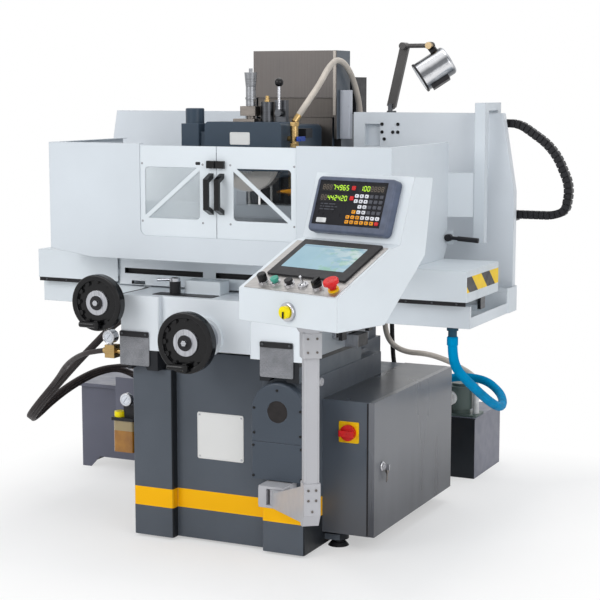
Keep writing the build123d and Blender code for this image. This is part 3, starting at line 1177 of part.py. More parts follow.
FIRST_RUN = [(-486, 190, 630), (-548, 182, 568), (-630, 184, 492)]
BUNDLE = [
    (-720, 205, 410),
    (-812, 232, 324),
    (-876, 272, 268),
    (-908, 344, 252),
    (-892, 426, 282),
    (-852, 510, 328),
    (-804, 595, 364),
    (-764, 668, 372),
]


def shifted(points, step):
    return [(x + step[0], y + step[1], z + step[2]) for x, y, z in points]


HYDRAULIC_ROUTES = [
    [(-446, 192, 672)] + FIRST_RUN + BUNDLE + [(-738, 708, 350)],
    [(-430, 192, 652)] + shifted(FIRST_RUN + BUNDLE, (16, 0, -20)) + [(-722, 710, 334)],
    [(-402, -10, 571), (-456, -6, 562), (-538, 42, 534), (-630, 112, 486)]
    + shifted(BUNDLE, (-16, 0, 20)) + [(-768, 714, 377)],
]


def hydraulic_hoses():
    return group(*[hose("hydraulic hose", route, 16) for route in HYDRAULIC_ROUTES])


# Build and write every node, with the origin under the middle of the whole machine

NODES = {
    "base_casting": base_casting(),
    "leveling_feet": leveling_feet(),
    "column_casting": column_casting(),
    "column_fittings": column_fittings(),
    "gear_covers": gear_covers(),
    "cabinet_shell": cabinet_shell(),
    "cabinet_door": cabinet_door(),
    "main_switch": main_switch(),
    "hydraulic_unit": hydraulic_unit(),
    "lubricator": lubricator(),
    "coolant_unit": coolant_unit(),
    "arm_bracket": arm_bracket(),
    "pendant_arm": pendant_arm(),
    "console_housing": console_housing(),
    "touch_panel": touch_panel(),
    "dro_unit": dro_unit(),
    "dimmer_knob": dimmer_knob(),
    "start_button": push_button("start_button"),
    "stop_button": push_button("stop_button"),
    "toggle_lever": toggle_lever(),
    "selector_knob": selector_knob(),
    "estop_button": estop_button(),
    "feed_knob": feed_knob(),
    "saddle_casting": saddle_casting(),
    "saddle_trays": saddle_trays(),
    "saddle_trim": saddle_trim(),
    "rear_panels": rear_panels(),
    "valve_gear": valve_gear(),
    "reversing_lever": reversing_lever(),
    "table_cylinder": table_cylinder(),
    "cross_handwheel": cross_handwheel(),
    "cross_grip": folding_grip(CROSS_X, CROSS_Z, CROSS_FACE, CROSS_RADIUS),
    "table_handwheel": table_handwheel(),
    "table_grip": folding_grip(TABLE_WHEEL_X, TABLE_WHEEL_Z, TABLE_WHEEL_FACE, TABLE_WHEEL_RADIUS),
    "table_casting": table_casting(),
    "table_end_boxes": table_end_boxes(),
    "mag_chuck": mag_chuck(),
    "guard_shell": guard_shell(),
    "door_left": door(-1),
    "door_right": door(1),
    "clamp_lever": clamp_lever(),
    "wheelhead": wheelhead(),
    "wheel_guard": wheel_guard(),
    "dresser": dresser(),
    "dresser_thimble": dresser_thimble(),
    "dresser_lever": dresser_lever(),
    "coolant_valve": coolant_valve(),
    "valve_handle": valve_handle(),
    "spindle": spindle(),
    "grinding_wheel": grinding_wheel(),
    "lamp_lower_arm": lamp_lower_arm(),
    "lamp_upper_arm": lamp_upper_arm(),
    "lamp_head": lamp_head(),
    "cable_chain": cable_chain(),
}
CORDS = {
    "coolant_hose_upper": hose("coolant hose, upper", COOLANT_TOP_ROUTE, 19),
    "coolant_hose_lower": hose("coolant hose, lower", COOLANT_LOW_ROUTE, 19),
    "drain_hose": hose("drain hose", DRAIN_ROUTE, 29),
    "cabinet_conduit": hose("cabinet conduit", CONDUIT_ROUTE, 16),
    "hydraulic_hoses": hydraulic_hoses(),
}

span = Compound([solid for shape in NODES.values() for solid in shape.solids()]).bounding_box()
middle = Pos(-(span.min.X + span.max.X) / 2, -(span.min.Y + span.max.Y) / 2, -span.min.Z)
print("shift", middle.position)

os.makedirs("parts", exist_ok=True)
for name, shape in {**NODES, **CORDS}.items():
    export_step(middle * shape, "parts/" + name + ".step")
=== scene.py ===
import bpy
from math import cos, hypot, pi, radians, sin
from mathutils import Matrix, Vector


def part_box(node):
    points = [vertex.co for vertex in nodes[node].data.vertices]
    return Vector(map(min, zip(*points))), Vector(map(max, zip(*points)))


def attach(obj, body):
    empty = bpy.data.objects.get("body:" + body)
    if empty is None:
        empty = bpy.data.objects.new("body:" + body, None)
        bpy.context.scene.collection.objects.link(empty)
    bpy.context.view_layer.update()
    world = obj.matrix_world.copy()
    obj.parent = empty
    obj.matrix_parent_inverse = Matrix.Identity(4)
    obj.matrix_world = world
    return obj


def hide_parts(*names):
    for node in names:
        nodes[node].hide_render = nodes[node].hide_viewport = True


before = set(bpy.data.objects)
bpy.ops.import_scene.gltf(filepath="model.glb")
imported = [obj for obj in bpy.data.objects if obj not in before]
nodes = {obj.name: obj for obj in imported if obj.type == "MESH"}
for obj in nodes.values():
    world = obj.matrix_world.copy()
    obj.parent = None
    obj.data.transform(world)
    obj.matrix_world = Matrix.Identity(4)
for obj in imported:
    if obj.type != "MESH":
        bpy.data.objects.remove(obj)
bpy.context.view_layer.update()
scene = bpy.context.scene

# The part's source counts from the middle of the base's front, in millimetres.
# The way columns stand PROUD metres in front of that.
PROUD = 0.030
base_low, base_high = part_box("base_casting")
SHIFT = Vector(((base_low.x + base_high.x) / 2, base_low.y + PROUD, 0.0))


def at(x, y, z):
    """Place in the frame, in metres, of a point of the source."""
    return Vector((x, y, z)) / 1000 + SHIFT


def back(point):
    """Point of the source, in millimetres, for a place in the frame."""
    return (Vector(point) - SHIFT) * 1000


def linked(name, data):
    made = bpy.data.objects.new(name, data)
    scene.collection.objects.link(made)
    return made


# Camera, at the photograph's place and lens

AZIMUTH = radians(25.2)
PITCH = radians(7.83)
EYE = (2163.5, -4039, 1380)
look = Vector((-sin(AZIMUTH) * cos(PITCH), cos(AZIMUTH) * cos(PITCH), -sin(PITCH)))
camera = linked("camera", bpy.data.cameras.new("camera"))
camera.location = at(*EYE)
camera.rotation_euler = look.to_track_quat("-Z", "Y").to_euler()
camera.data.sensor_width = 36
camera.data.lens = 93
camera.data.clip_end = 60
scene.camera = camera
scene.view_settings.view_transform = "Standard"


# Material helpers

def linear(rgb):
    """Linear colour for red, green and blue from 0 to 255."""
    out = []
    for v in rgb:
        v /= 255
        out.append(v / 12.92 if v <= 0.04045 else ((v + 0.055) / 1.055) ** 2.4)
    return (*out, 1)


def shade(rgb, factor):
    return tuple(min(255, v * factor) for v in rgb)


class Shader:
    """A material with its Principled shader and short ways to add nodes."""

    def __init__(self, name):
        self.material = bpy.data.materials.new(name)
        self.material.use_nodes = True
        self.tree = self.material.node_tree
        self.bsdf = self.tree.nodes["Principled BSDF"]
        self.coords = self.node("TexCoord").outputs["Object"]
        self.soft = None

    def set(self, **sockets):
        for name, value in sockets.items():
            self.bsdf.inputs[name.replace("_", " ")].default_value = value

    def feed(self, socket, value):
        if isinstance(value, bpy.types.NodeSocket):
            self.tree.links.new(value, socket)
        else:
            socket.default_value = value

    def node(self, kind, **inputs):
        made = self.tree.nodes.new("ShaderNode" + kind)
        for name, value in inputs.items():
            self.feed(made.inputs[name.replace("_", " ")], value)
        return made

    def operation(self, kind, operation, values):
        made = self.node(kind)
        made.operation = operation
        for socket, value in zip(made.inputs, values):
            self.feed(socket, value)
        return made

    def math(self, operation, *values):
        return self.operation("Math", operation, values).outputs[0]

    def times(self, one, two):
        return self.math("MULTIPLY", one, two)

    def dot(self, *vectors):
        return self.operation("VectorMath", "DOT_PRODUCT", vectors).outputs["Value"]

    def normal(self):
        return self.node("NewGeometry").outputs["Normal"]

    def stretch(self, x, y, z):
        return self.node("Mapping", Vector=self.coords, Scale=(x, y, z)).outputs[0]

    def noise(self, scale, detail=3.0, vector=None):
        made = self.node("TexNoise", Vector=vector or self.coords, Scale=scale, Detail=detail)
        return made.outputs["Fac"]

    def remap(self, value, low, high, start=0.3, end=0.7):
        made = self.node("MapRange", Value=value, From_Min=start, From_Max=end,
                         To_Min=low, To_Max=high)
        return made.outputs[0]

    def blotches(self, scale, detail=3.0):
        return self.remap(self.noise(scale, detail), 0, 1)

    def mix(self, share, one, two):
        """Blend of two colours, each a socket or red, green and blue from 0 to 255."""
        made = self.node("Mix")
        made.data_type = "RGBA"
        self.feed(made.inputs[0], share)
        for place, colour in ((6, one), (7, two)):
            self.feed(made.inputs[place], linear(colour) if isinstance(colour, tuple) else colour)
        return made.outputs[2]

    def axes(self):
        split = self.node("SeparateXYZ", Vector=self.coords)
        return split.outputs[0], split.outputs[1], split.outputs[2]

    def band(self, value, low, high):
        over = self.math("GREATER_THAN", value, low)
        under = self.math("LESS_THAN", value, high)
        return self.times(over, under)

    def comb(self, value, pitch, share):
        """1 on the first share of each pitch, 0 on the rest."""
        return self.math("LESS_THAN", self.math("FRACT", self.times(value, 1 / pitch)), share)

    def edges(self, radius):
        """Share of edge, 1 on a worn corner. The same node rounds the corner's light."""
        self.soft = self.node("Bevel", Radius=radius)
        self.soft.samples = 4
        return self.remap(self.dot(self.soft.outputs[0], self.normal()), 1, 0, 0.82, 0.99)

    def colour(self, value):
        self.feed(self.bsdf.inputs["Base Color"], value)

    def glow(self, value, strength):
        self.feed(self.bsdf.inputs["Emission Color"], value)
        self.set(Emission_Strength=strength)

    def rough(self, value):
        self.feed(self.bsdf.inputs["Roughness"], value)

    def uneven(self, scale, low, high, detail=3.0):
        """Roughness that changes in patches."""
        self.rough(self.remap(self.noise(scale, detail), low, high))

    def bump(self, height, strength, distance=0.001):
        made = self.node("Bump", Height=height, Strength=strength, Distance=distance)
        if self.soft:
            self.tree.links.new(self.soft.outputs[0], made.inputs["Normal"])
        self.tree.links.new(made.outputs[0], self.bsdf.inputs["Normal"])

    def done(self, gloss=0.5, metallic=0.0):
        """The finished material."""
        self.set(Specular_IOR_Level=gloss, Metallic=metallic)
        return self.material


# Corners of a paint whose red, green and blue add up to less wear lighter, others darker
DARK_PAINT = 420


def paint(name, rgb, rough=0.42, peel=0.07, scale=520, spread=0.02, wear=0.12, gloss=0.5):
    """Enamel or powder coat: cloudy tone, orange peel, uneven gloss, corners rubbed a little."""
    s = Shader(name)
    tone = s.mix(s.blotches(3.5, 4), shade(rgb, 1 - spread), shade(rgb, 1 + spread * 0.6))
    rubbed = s.times(s.edges(0.0025), s.blotches(60, 4))
    worn = shade(rgb, 1 + wear if sum(rgb) < DARK_PAINT else 1 - wear)
    s.colour(s.mix(rubbed, tone, worn))
    s.uneven(24, rough - 0.06, rough + 0.08)
    s.bump(s.noise(scale, 2), peel)
    return s.done(gloss)


def metal(name, rgb, rough=0.28, grain=(8, 8, 300), bump=0.05):
    """Bare metal with drawn or turned lines across the axis that the grain stretches most."""
    s = Shader(name)
    lines = s.noise(1.0, 6, s.stretch(*grain))
    s.edges(0.0012)
    s.colour(s.mix(s.remap(lines, 0, 1), shade(rgb, 0.86), rgb))
    s.rough(s.remap(lines, rough - 0.07, rough + 0.1))
    s.bump(lines, bump, 0.0005)
    return s.done(metallic=1.0)


def plastic(name, rgb, rough=0.35, texture=0.06, gloss=0.5, scale=900.0):
    """Moulded plastic or rubber with a fine texture."""
    s = Shader(name)
    tone = s.blotches(40, 4)
    s.edges(0.0015)
    s.colour(s.mix(tone, shade(rgb, 0.9), shade(rgb, 1.08)))
    s.uneven(60, rough - 0.06, rough + 0.08)
    s.bump(s.noise(scale, 2), texture, 0.0004)
    return s.done(gloss)


def hose_skin(name, rgb, rough, scale, gloss=0.2):
    """Hose wall with grime and a fine bump."""
    s = Shader(name)
    s.colour(s.mix(s.blotches(14, 5), shade(rgb, 0.86), rgb))
    s.uneven(50, rough - 0.08, rough + 0.1)
    s.bump(s.noise(scale, 3), 0.15, 0.0006)
    return s.done(gloss)


# Cords, as smooth lines through the routes of the part's source

def cord_piece(name, node, body, points, diameter, material):
    """One cord along points in mm. The diameter is in mm."""
    curve = bpy.data.curves.new(name, "CURVE")
    curve.dimensions = "3D"
    curve.bevel_depth = diameter / 2000
    curve.bevel_resolution = 4
    curve.resolution_u = 10
    spline = curve.splines.new("NURBS")
    spline.points.add(len(points) - 1)
    for point, spot in zip(spline.points, points):
        point.co = (*at(*spot), 1)
    spline.order_u = 3
    spline.use_endpoint_u = True
    curve.materials.append(material)
    piece = linked(name, curve)
    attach(piece, body)
    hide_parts(node)


BEIGE = hose_skin("beige_hose", (206, 197, 186), 0.4, 500)
AZURE = hose_skin("blue_hose", (0, 146, 202), 0.5, 300, 0.01)
OILHOSE = hose_skin("hydraulic_hose", (58, 52, 52), 0.45, 900)
CONDUIT = hose_skin("conduit", (30, 30, 33), 0.5, 900)

COOLANT_DIA, DRAIN_DIA, OIL_DIA, CONDUIT_DIA = 19, 29, 16, 16
VALVE_X, VALVE_Z, WHEEL_Y = 150, 1225, 195
RISER_X, RISER_Y, RISER_BACK, RISER_TOP, RISER_LOW = 168, 665, 890, 1235, 600
PUMP_X, PUMP_Y = 360, 1140
DRAIN_X, DRAIN_Y = 668, 182
SPIGOT_RADIUS, SPIGOT_TOP = 25, 689
ELBOW = Vector((VALVE_X, WHEEL_Y + 5, VALVE_Z + 50))
LEAN = Vector((22, 32, 50))

cord_piece("upper_coolant_hose", "coolant_hose_upper", "wheelhead", [
    ELBOW + LEAN * 0.4,
    ELBOW + LEAN * 1.24,
    (VALVE_X + 36, 306, VALVE_Z + 164),
    (VALVE_X + 25, 398, VALVE_Z + 218),
    (VALVE_X + 18, 482, VALVE_Z + 244),
    (VALVE_X + 17, 566, VALVE_Z + 218),
    (VALVE_X + 17, 628, VALVE_Z + 155),
    (RISER_X, RISER_Y, RISER_TOP + 70),
    (RISER_X, RISER_Y, RISER_TOP),
], COOLANT_DIA, BEIGE)
cord_piece("lower_coolant_hose", "coolant_hose_lower", "base", [
    (RISER_X, RISER_BACK, RISER_LOW),
    (RISER_X, RISER_BACK, RISER_LOW - 45),
    (RISER_X + 18, RISER_BACK + 7, 500),
    (RISER_X + 68, RISER_BACK + 20, 469),
    (RISER_X + 142, RISER_BACK + 38, 467),
    (RISER_X + 196, RISER_BACK + 76, 444),
    (PUMP_X + 34, PUMP_Y - 122, 414),
    (PUMP_X + 50, PUMP_Y - 52, 382),
    (PUMP_X + 61, PUMP_Y - 2, 350),
    (PUMP_X + 61, PUMP_Y - 2, 303),
], COOLANT_DIA, BEIGE)
cord_piece("blue_drain_hose", "drain_hose", "saddle", [
    (DRAIN_X, DRAIN_Y, 660),
    (DRAIN_X, DRAIN_Y, 612),
    (671, 206, 562),
    (682, 268, 518),
    (684, 370, 466),
    (680, 500, 409),
    (668, 630, 366),
    (642, 752, 346),
    (606, 866, 345),
    (562, 958, 351),
    (500, 1018, 371),
    (423, 1048, 374),
    (345, 1072, 360),
    (292, 1104, 338),
    (266, 1136, 296),
    (258, 1148, 250),
], DRAIN_DIA, AZURE)
cord_piece("black_conduit", "cabinet_conduit", "base", [
    (178, 928, 745),
    (178, 928, 672),
    (181, 925, 582),
    (184, 924, 494),
    (192, 921, 418),
    (218, 910, 352),
    (260, 896, 312),
    (302, 866, 297),
    (324, 822, 294),
    (324, 775, 294),
], CONDUIT_DIA, CONDUIT)


def shifted(points, step):
    return [tuple(a + b for a, b in zip(p, step)) for p in points]


# The three hydraulic hoses share one run, side by side
FIRST_RUN = [(-486, 190, 630), (-548, 182, 568), (-630, 184, 492)]
BUNDLE = [
    (-720, 205, 410),
    (-818, 230, 318),
    (-886, 268, 258),
    (-918, 344, 246),
    (-898, 426, 294),
    (-852, 510, 346),
    (-804, 595, 378),
    (-764, 668, 378),
]
FIRST_HOSE = [(-446, 192, 672)] + FIRST_RUN + BUNDLE + [(-738, 708, 350)]
SECOND_HOSE = [(-430, 192, 652)] + shifted(FIRST_RUN + BUNDLE, (-2, 14, -8)) + [(-722, 710, 334)]
THIRD_HOSE = [(-402, -10, 571), (-456, -6, 562), (-538, 42, 534), (-630, 112, 486)]
THIRD_HOSE += shifted(BUNDLE, (2, -14, 8)) + [(-768, 714, 377)]
for number, points, length in ((1, FIRST_HOSE, 1.108), (2, SECOND_HOSE, 1.108), (3, THIRD_HOSE, 1.151)):
    cord_piece(f"hydraulic_hose_{number}", "hydraulic_hoses", "saddle", points, OIL_DIA, OILHOSE)


# Materials

CROSS_X, CROSS_Z = -32, 642
LAMP_AIM = Vector((-0.76, -0.358, -0.545)).normalized()
LAMP_REAR = Vector((465, 557, 1436)) - LAMP_AIM * 55
# Heights and lengths on the machine, in metres
BAND_LOW, BAND_HIGH = 0.101, 0.160
WAY_GAP_LOW, WAY_GAP_HIGH = 0.578, 0.6
OIL_LEVEL = 0.318
STRIPES_LOW, STRIPES_HIGH = 0.797, 0.842
STRIPE_START, STRIPE_PITCH = 0.043, 0.158
STRIPE_SLANT, STRIPE_YELLOW = 1.24, 0.53


def base_paint():
    """Slate enamel with a yellow band, and painted shade: right-hand faces on the left half and under the
    band are painted nearly black.
    """
    s = Shader("base_enamel")
    x, _, z = s.axes()
    slate, yellow = (85, 91, 99), (255, 188, 0)
    cloud = s.blotches(3.0, 4)
    grey = s.mix(cloud, shade(slate, 0.93), shade(slate, 1.06))
    gold = s.mix(cloud, shade(yellow, 0.96), yellow)
    rubbed = s.times(s.edges(0.004), s.remap(s.noise(50, 4), 0, 0.6))
    band = s.band(z, BAND_LOW, BAND_HIGH)
    coat = s.mix(rubbed, s.mix(band, grey, gold), (124, 134, 144))
    # Painted shade: right-facing faces left of the middle or below the band go towards near black, the
    # yellow band less so
    facing = s.node("SeparateXYZ", Vector=s.normal()).outputs[0]
    inner = s.math("MAXIMUM", s.math("LESS_THAN", x, SHIFT.x), s.math("LESS_THAN", z, BAND_LOW))
    painted_shade_faces = s.times(s.math("GREATER_THAN", facing, 0.5), inner)
    depth = s.math("SUBTRACT", 0.85, s.times(band, 0.6))
    s.colour(s.mix(s.times(painted_shade_faces, depth), coat, (12, 13, 15)))
    s.uneven(22, 0.3, 0.44)
    s.bump(s.noise(260, 3), 0.1)
    return s.done(0.15)


def cabinet_coat(name, low, high):
    """Dark smooth powder coat with faint upright smears, and a painted reflection: its tone goes from the
    low to the high colour towards the top.
    """
    s = Shader(name)
    height = s.axes()[2]
    smears = s.noise(1.0, 2, s.stretch(9, 9, 1.5))
    # Painted reflection: the colour runs from low to high up the cabinet
    reflection_rise = s.remap(s.math("ADD", height, s.times(smears, 0.1)), 0, 1, 0.14, 0.34)
    s.colour(s.mix(s.remap(smears, 0, 0.3), s.mix(reflection_rise, low, high), shade(high, 1.1)))
    s.rough(s.remap(smears, 0.27, 0.31))
    s.bump(s.noise(9, 2), 0.03)
    return s.done(0.3)


def way_side():
    """Slate side of the saddle's way with a near-black band of painted shade along its top, for the gap
    between saddle and base.
    """
    s = Shader("way_side")
    # Painted shade: a near-black band for the shadowed gap between saddle and base
    gap_shade = s.band(s.axes()[2], WAY_GAP_LOW, WAY_GAP_HIGH)
    tone = s.mix(s.blotches(3.5, 4), (74, 82, 90), (82, 90, 99))
    s.colour(s.mix(gap_shade, tone, (15, 16, 18)))
    s.uneven(24, 0.32, 0.44)
    s.bump(s.noise(260, 2), 0.08)
    return s.done(0.25)


def cover_steel():
    """Brushed stainless sheet of the column cover, with upright lines."""
    s = Shader("brushed_stainless")
    lines = s.noise(1.0, 6, s.stretch(420, 420, 4))
    cloud = s.times(s.blotches(5, 3), 0.35)
    s.edges(0.0015)
    fine = s.mix(s.remap(lines, 0, 1), (80, 77, 76), (95, 92, 91))
    s.colour(s.mix(cloud, fine, (108, 102, 97)))
    s.rough(s.remap(lines, 0.34, 0.48))
    s.bump(lines, 0.05, 0.0005)
    return s.done(metallic=1.0)


def lamp_shell():
    """Polished sheet with painted reflections: light and dark bands along the lamp's axis."""
    s = Shader("lamp_chrome")
    sideways = LAMP_AIM.cross(Vector((0.42, -0.9, 0.1))).normalized()
    start = at(*LAMP_REAR).dot(sideways) + 0.012
    place = s.math("SUBTRACT", s.dot(s.coords, sideways), start)
    # Painted reflection: light and dark bands across the shell that run along its axis
    reflection_wave = s.math("SINE", s.times(place, 150))
    smear = s.math("ADD", reflection_wave, s.remap(s.noise(30, 3), -0.25, 0.25))
    s.colour(s.mix(s.remap(smear, 0, 1, -0.7, 0.9), (112, 114, 118), (228, 229, 232)))
    s.uneven(40, 0.16, 0.26)
    return s.done(metallic=1.0)


def hazard():
    """White end cover with one band of slanted black and yellow stripes."""
    s = Shader("hazard_stripes")
    _, y, z = s.axes()
    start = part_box("table_end_boxes")[0].y + STRIPE_START + STRIPE_SLANT * STRIPES_HIGH
    slant = s.math("SUBTRACT", s.math("ADD", y, s.times(z, STRIPE_SLANT)), start)
    light = s.comb(slant, STRIPE_PITCH, STRIPE_YELLOW)
    worn = s.blotches(30, 5)
    gold = s.mix(worn, (228, 190, 12), (246, 206, 16))
    dark = s.mix(worn, (46, 44, 46), (66, 62, 64))
    white = s.mix(worn, (196, 203, 208), (206, 213, 218))
    s.colour(s.mix(s.band(z, STRIPES_LOW, STRIPES_HIGH), white, s.mix(light, dark, gold)))
    s.uneven(40, 0.36, 0.5)
    s.bump(s.noise(500, 2), 0.05)
    return s.done(0.2)


def window(name, body, clear):
    """Acrylic pane: the body is what the pane itself shows, the rest is seen straight through."""
    s = Shader(name)
    s.colour(s.mix(s.blotches(6, 4), (222, 230, 233), (236, 242, 244)))
    s.uneven(12, 0.02, 0.08, 4)
    s.set(Transmission_Weight=clear, IOR=1.12, Alpha=body)
    return s.done()


def oil():
    """Reservoir glass with amber oil up to its level."""
    s = Shader("oil_glass")
    level = s.math("LESS_THAN", s.axes()[2], OIL_LEVEL)
    amber = s.mix(s.blotches(30, 4), (150, 98, 24), (184, 126, 36))
    s.colour(s.mix(level, (170, 152, 112), amber))
    s.uneven(20, 0.06, 0.16)
    s.set(Transmission_Weight=0.25, IOR=1.45, Coat_Weight=0.4)
    return s.done()


def grit():
    s = Shader("bonded_grit")
    specks = s.node("TexVoronoi", Vector=s.coords, Scale=700.0).outputs["Distance"]
    s.colour(s.mix(s.remap(specks, 0, 1, 0.1, 0.6), (240, 235, 228), (206, 198, 190)))
    s.uneven(300, 0.75, 0.95)
    s.bump(specks, 0.5, 0.0006)
    return s.done()


def wiper():
    """Grey rubber flap with a pressed diamond pattern."""
    s = Shader("wiper_rubber")
    x, _, z = s.axes()
    one, two = (s.math("SINE", s.times(s.math(kind, x, z), 520)) for kind in ("ADD", "SUBTRACT"))
    s.colour(s.mix(s.blotches(25, 5), (112, 114, 118), (138, 139, 144)))
    s.uneven(70, 0.55, 0.72)
    s.bump(s.math("MAXIMUM", one, two), 0.5, 0.0012)
    return s.done()


def dial():
    """Silver collar with a hundred dark graduation lines round the cross feed screw."""
    s = Shader("graduated_collar")
    x, _, z = s.axes()
    middle = at(CROSS_X, 0, CROSS_Z)
    turn = s.math("ARCTAN2", s.math("SUBTRACT", z, middle.z), s.math("SUBTRACT", x, middle.x))
    line = s.comb(turn, pi / 50, 0.28)
    grain = s.noise(1.0, 5, s.stretch(20, 700, 20))
    silver = s.mix(s.remap(grain, 0, 1), (178, 180, 188), (210, 212, 218))
    s.colour(s.mix(line, silver, (40, 42, 46)))
    s.rough(s.remap(grain, 0.22, 0.38))
    s.bump(line, 0.2, 0.0003)
    return s.done(metallic=0.85)


def gauge_face():
    """White round face with plain tick marks and one needle, in the face's own frame."""
    s = Shader("gauge_face")
    x, y, _ = s.axes()
    reach = s.math("SQRT", s.math("ADD", s.times(x, x), s.times(y, y)))
    turn = s.math("ARCTAN2", y, x)
    tick = s.times(s.comb(turn, pi / 14, 0.22), s.band(reach, 0.0118, 0.0152))
    aside = s.math("SUBTRACT", s.times(x, 0.8), s.times(y, 0.6))
    needle = s.math("LESS_THAN", s.math("ABSOLUTE", aside), 0.0007)
    needle = s.times(needle, s.math("LESS_THAN", reach, 0.0105))
    white = s.mix(s.blotches(90, 4), (206, 212, 222), (226, 230, 236))
    s.colour(s.mix(s.math("MAXIMUM", tick, needle), white, (34, 36, 44)))
    s.uneven(120, 0.12, 0.22)
    s.set(Coat_Weight=0.5)
    return s.done()


def display():
    """Pale touch display with plain fields and a painted highlight towards its upper right, in the
    operator panel's frame.
    """
    s = Shader("touch_display")
    x, y, _ = s.axes()
    colour = s.mix(s.blotches(12, 3), (138, 172, 186), (152, 184, 196))
    right = s.remap(x, 0, 1, 0.14, 0.20)
    green = s.times(right, s.remap(s.noise(38, 3), 0, 0.7, 0.5, 0.6))
    colour = s.mix(green, colour, (134, 178, 150))
    # Painted highlight: streaky light towards the upper right of the screen
    upper = s.remap(s.math("ADD", x, s.times(y, 1.4)), 0, 1, 0.38, 0.52)
    highlight_streaks = s.remap(s.noise(30, 3, s.stretch(1, 2.4, 1)), 0, 0.8, 0.46, 0.58)
    colour = s.mix(s.times(upper, highlight_streaks), colour, (196, 208, 208))
    head_line = s.times(s.band(y, 0.2, 0.2055), 0.5)
    colour = s.mix(head_line, colour, (112, 140, 170))
    s.colour(colour)
    s.glow(colour, 0.06)
    s.uneven(50, 0.14, 0.24)
    return s.done(0.25)


def lit(name, rgb, strength):
    s = Shader(name)
    tone = s.mix(s.blotches(300), shade(rgb, 0.9), rgb)
    s.colour(tone)
    s.glow(tone, strength)
    s.uneven(80, 0.3, 0.4)
    return s.done()


# Paints: roughness, orange peel and its scale, spread of tone, wear, gloss
WHITE = paint("white_powder", (217, 224, 229))
# The guard's copy of the door powder is painted darker: painted shade to even out the key lamp's stronger
# light on the guard
GUARDWHITE = paint("guard_powder_shaded", (207, 214, 220))
# The saddle and table enamel is painted lighter than the white powder: painted light that lifts the shade
# of the console and table overhang
CASTWHITE = paint("white_enamel_lightened", (228, 234, 239), 0.34, 0.12, 180, 0.025)
BOXWHITE = paint("cover_powder", (209, 216, 221), spread=0.025)
TRAYWHITE = paint("tray_powder", (207, 214, 220), 0.4, 0.08, 420, 0.035)
PANELWHITE = paint("panel_powder", (214, 220, 226), spread=0.025)
SLATE = paint("slate_enamel", (84, 92, 101), 0.36, 0.1, 260, 0.05, 0.4, 0.25)
GEAR = paint("gear_enamel", (69, 77, 87), 0.34, 0.08, 260, 0.04, 0.4, 0.25)
HEAD = paint("head_enamel", (55, 69, 83), 0.34, 0.1, 260, 0.05, 0.4, 0.25)
# Painted shade for the saddle: near black under it, grey on its right side under the console and trays
WAYSHADE = paint("way_shade", (36, 38, 42), 0.5, 0.1, 260, 0.05, 0.4, 0.2)
SIDESHADE = paint("saddle_side_shade", (132, 138, 144), 0.4, 0.1, 260, 0.06)
COLUMN_SHADE = paint("column_front_shade", (46, 46, 48), 0.45, 0.14, 220, 0.06, 0.3, 0.25)
TANK = paint("tank_enamel", (104, 106, 120), 0.34, 0.1, 300, 0.05, 0.3, 0.3)
TANK_FRONT_SHADE = paint("tank_front_shade", (34, 38, 43), 0.4, 0.1, 300, 0.06, 0.3, 0.2)
GREY = paint("arm_enamel", (178, 178, 182), 0.36, 0.07, 420, 0.025)
COUPLING = paint("coupling_enamel", (178, 178, 181), 0.36, 0.07, 420, 0.025)
LAMPARM = paint("lamp_enamel", (72, 70, 69), 0.36, 0.06, 500, 0.05, 0.3, 0.3)
PUMP = paint("pump_paint", (84, 98, 94), 0.38, 0.12, 300, 0.05, 0.3, 0.3)
BAREPLATE = paint("bare_plate", (224, 224, 222), 0.4, 0.03, 700, 0.02)
SCALE = paint("scale_anodised", (180, 184, 193), 0.32, 0.05, 600, 0.02)
BASE = base_paint()
WAYSIDE = way_side()
# The door's coat brightens strongly towards the top: painted reflection
CABINET = cabinet_coat("cabinet_powder", (85, 87, 92), (80, 87, 96))
CABINETTOP = cabinet_coat("cabinet_top_shaded_powder", (60, 65, 73), (60, 65, 73))
CABINETDOOR = cabinet_coat("cabinet_door_powder", (66, 68, 74), (108, 110, 115))
HAZARD = hazard()

# Metals: roughness, stretch of the grain, bump
PLATE = metal("operator_plate", (190, 187, 185), 0.42, (4, 400, 4), 0.04)
STEEL = metal("bright_steel", (198, 200, 206), 0.24)
GROUND = metal("ground_steel", (168, 170, 174), 0.3, (260, 8, 8))
THIMBLE = metal("satin_thimble", (146, 148, 152), 0.32, (20, 20, 200))
WORNSTEEL = metal("worn_steel", (124, 118, 113), 0.36, (40, 40, 200))
DARKSTEEL = metal("dark_steel", (86, 88, 92), 0.34)
STAINLESS = cover_steel()
PALESTAINLESS = metal("pale_stainless", (152, 146, 140), 0.36, (420, 420, 4))
DEEPSTAINLESS = metal("dark_stainless", (88, 84, 81), 0.36, (420, 420, 4), 0.06)
CHROME = metal("chrome", (206, 206, 210), 0.14, (30, 30, 30), 0.01)
LAMPSHELL = lamp_shell()
BRASS = metal("turned_brass", (190, 160, 108), 0.28, (20, 20, 500))
BRONZE = metal("pivot_bronze", (168, 148, 116), 0.3, (20, 20, 500))
ALUMINIUM = metal("anodised_aluminium", (190, 192, 198), 0.32, (300, 20, 20), 0.04)
DIAL = dial()

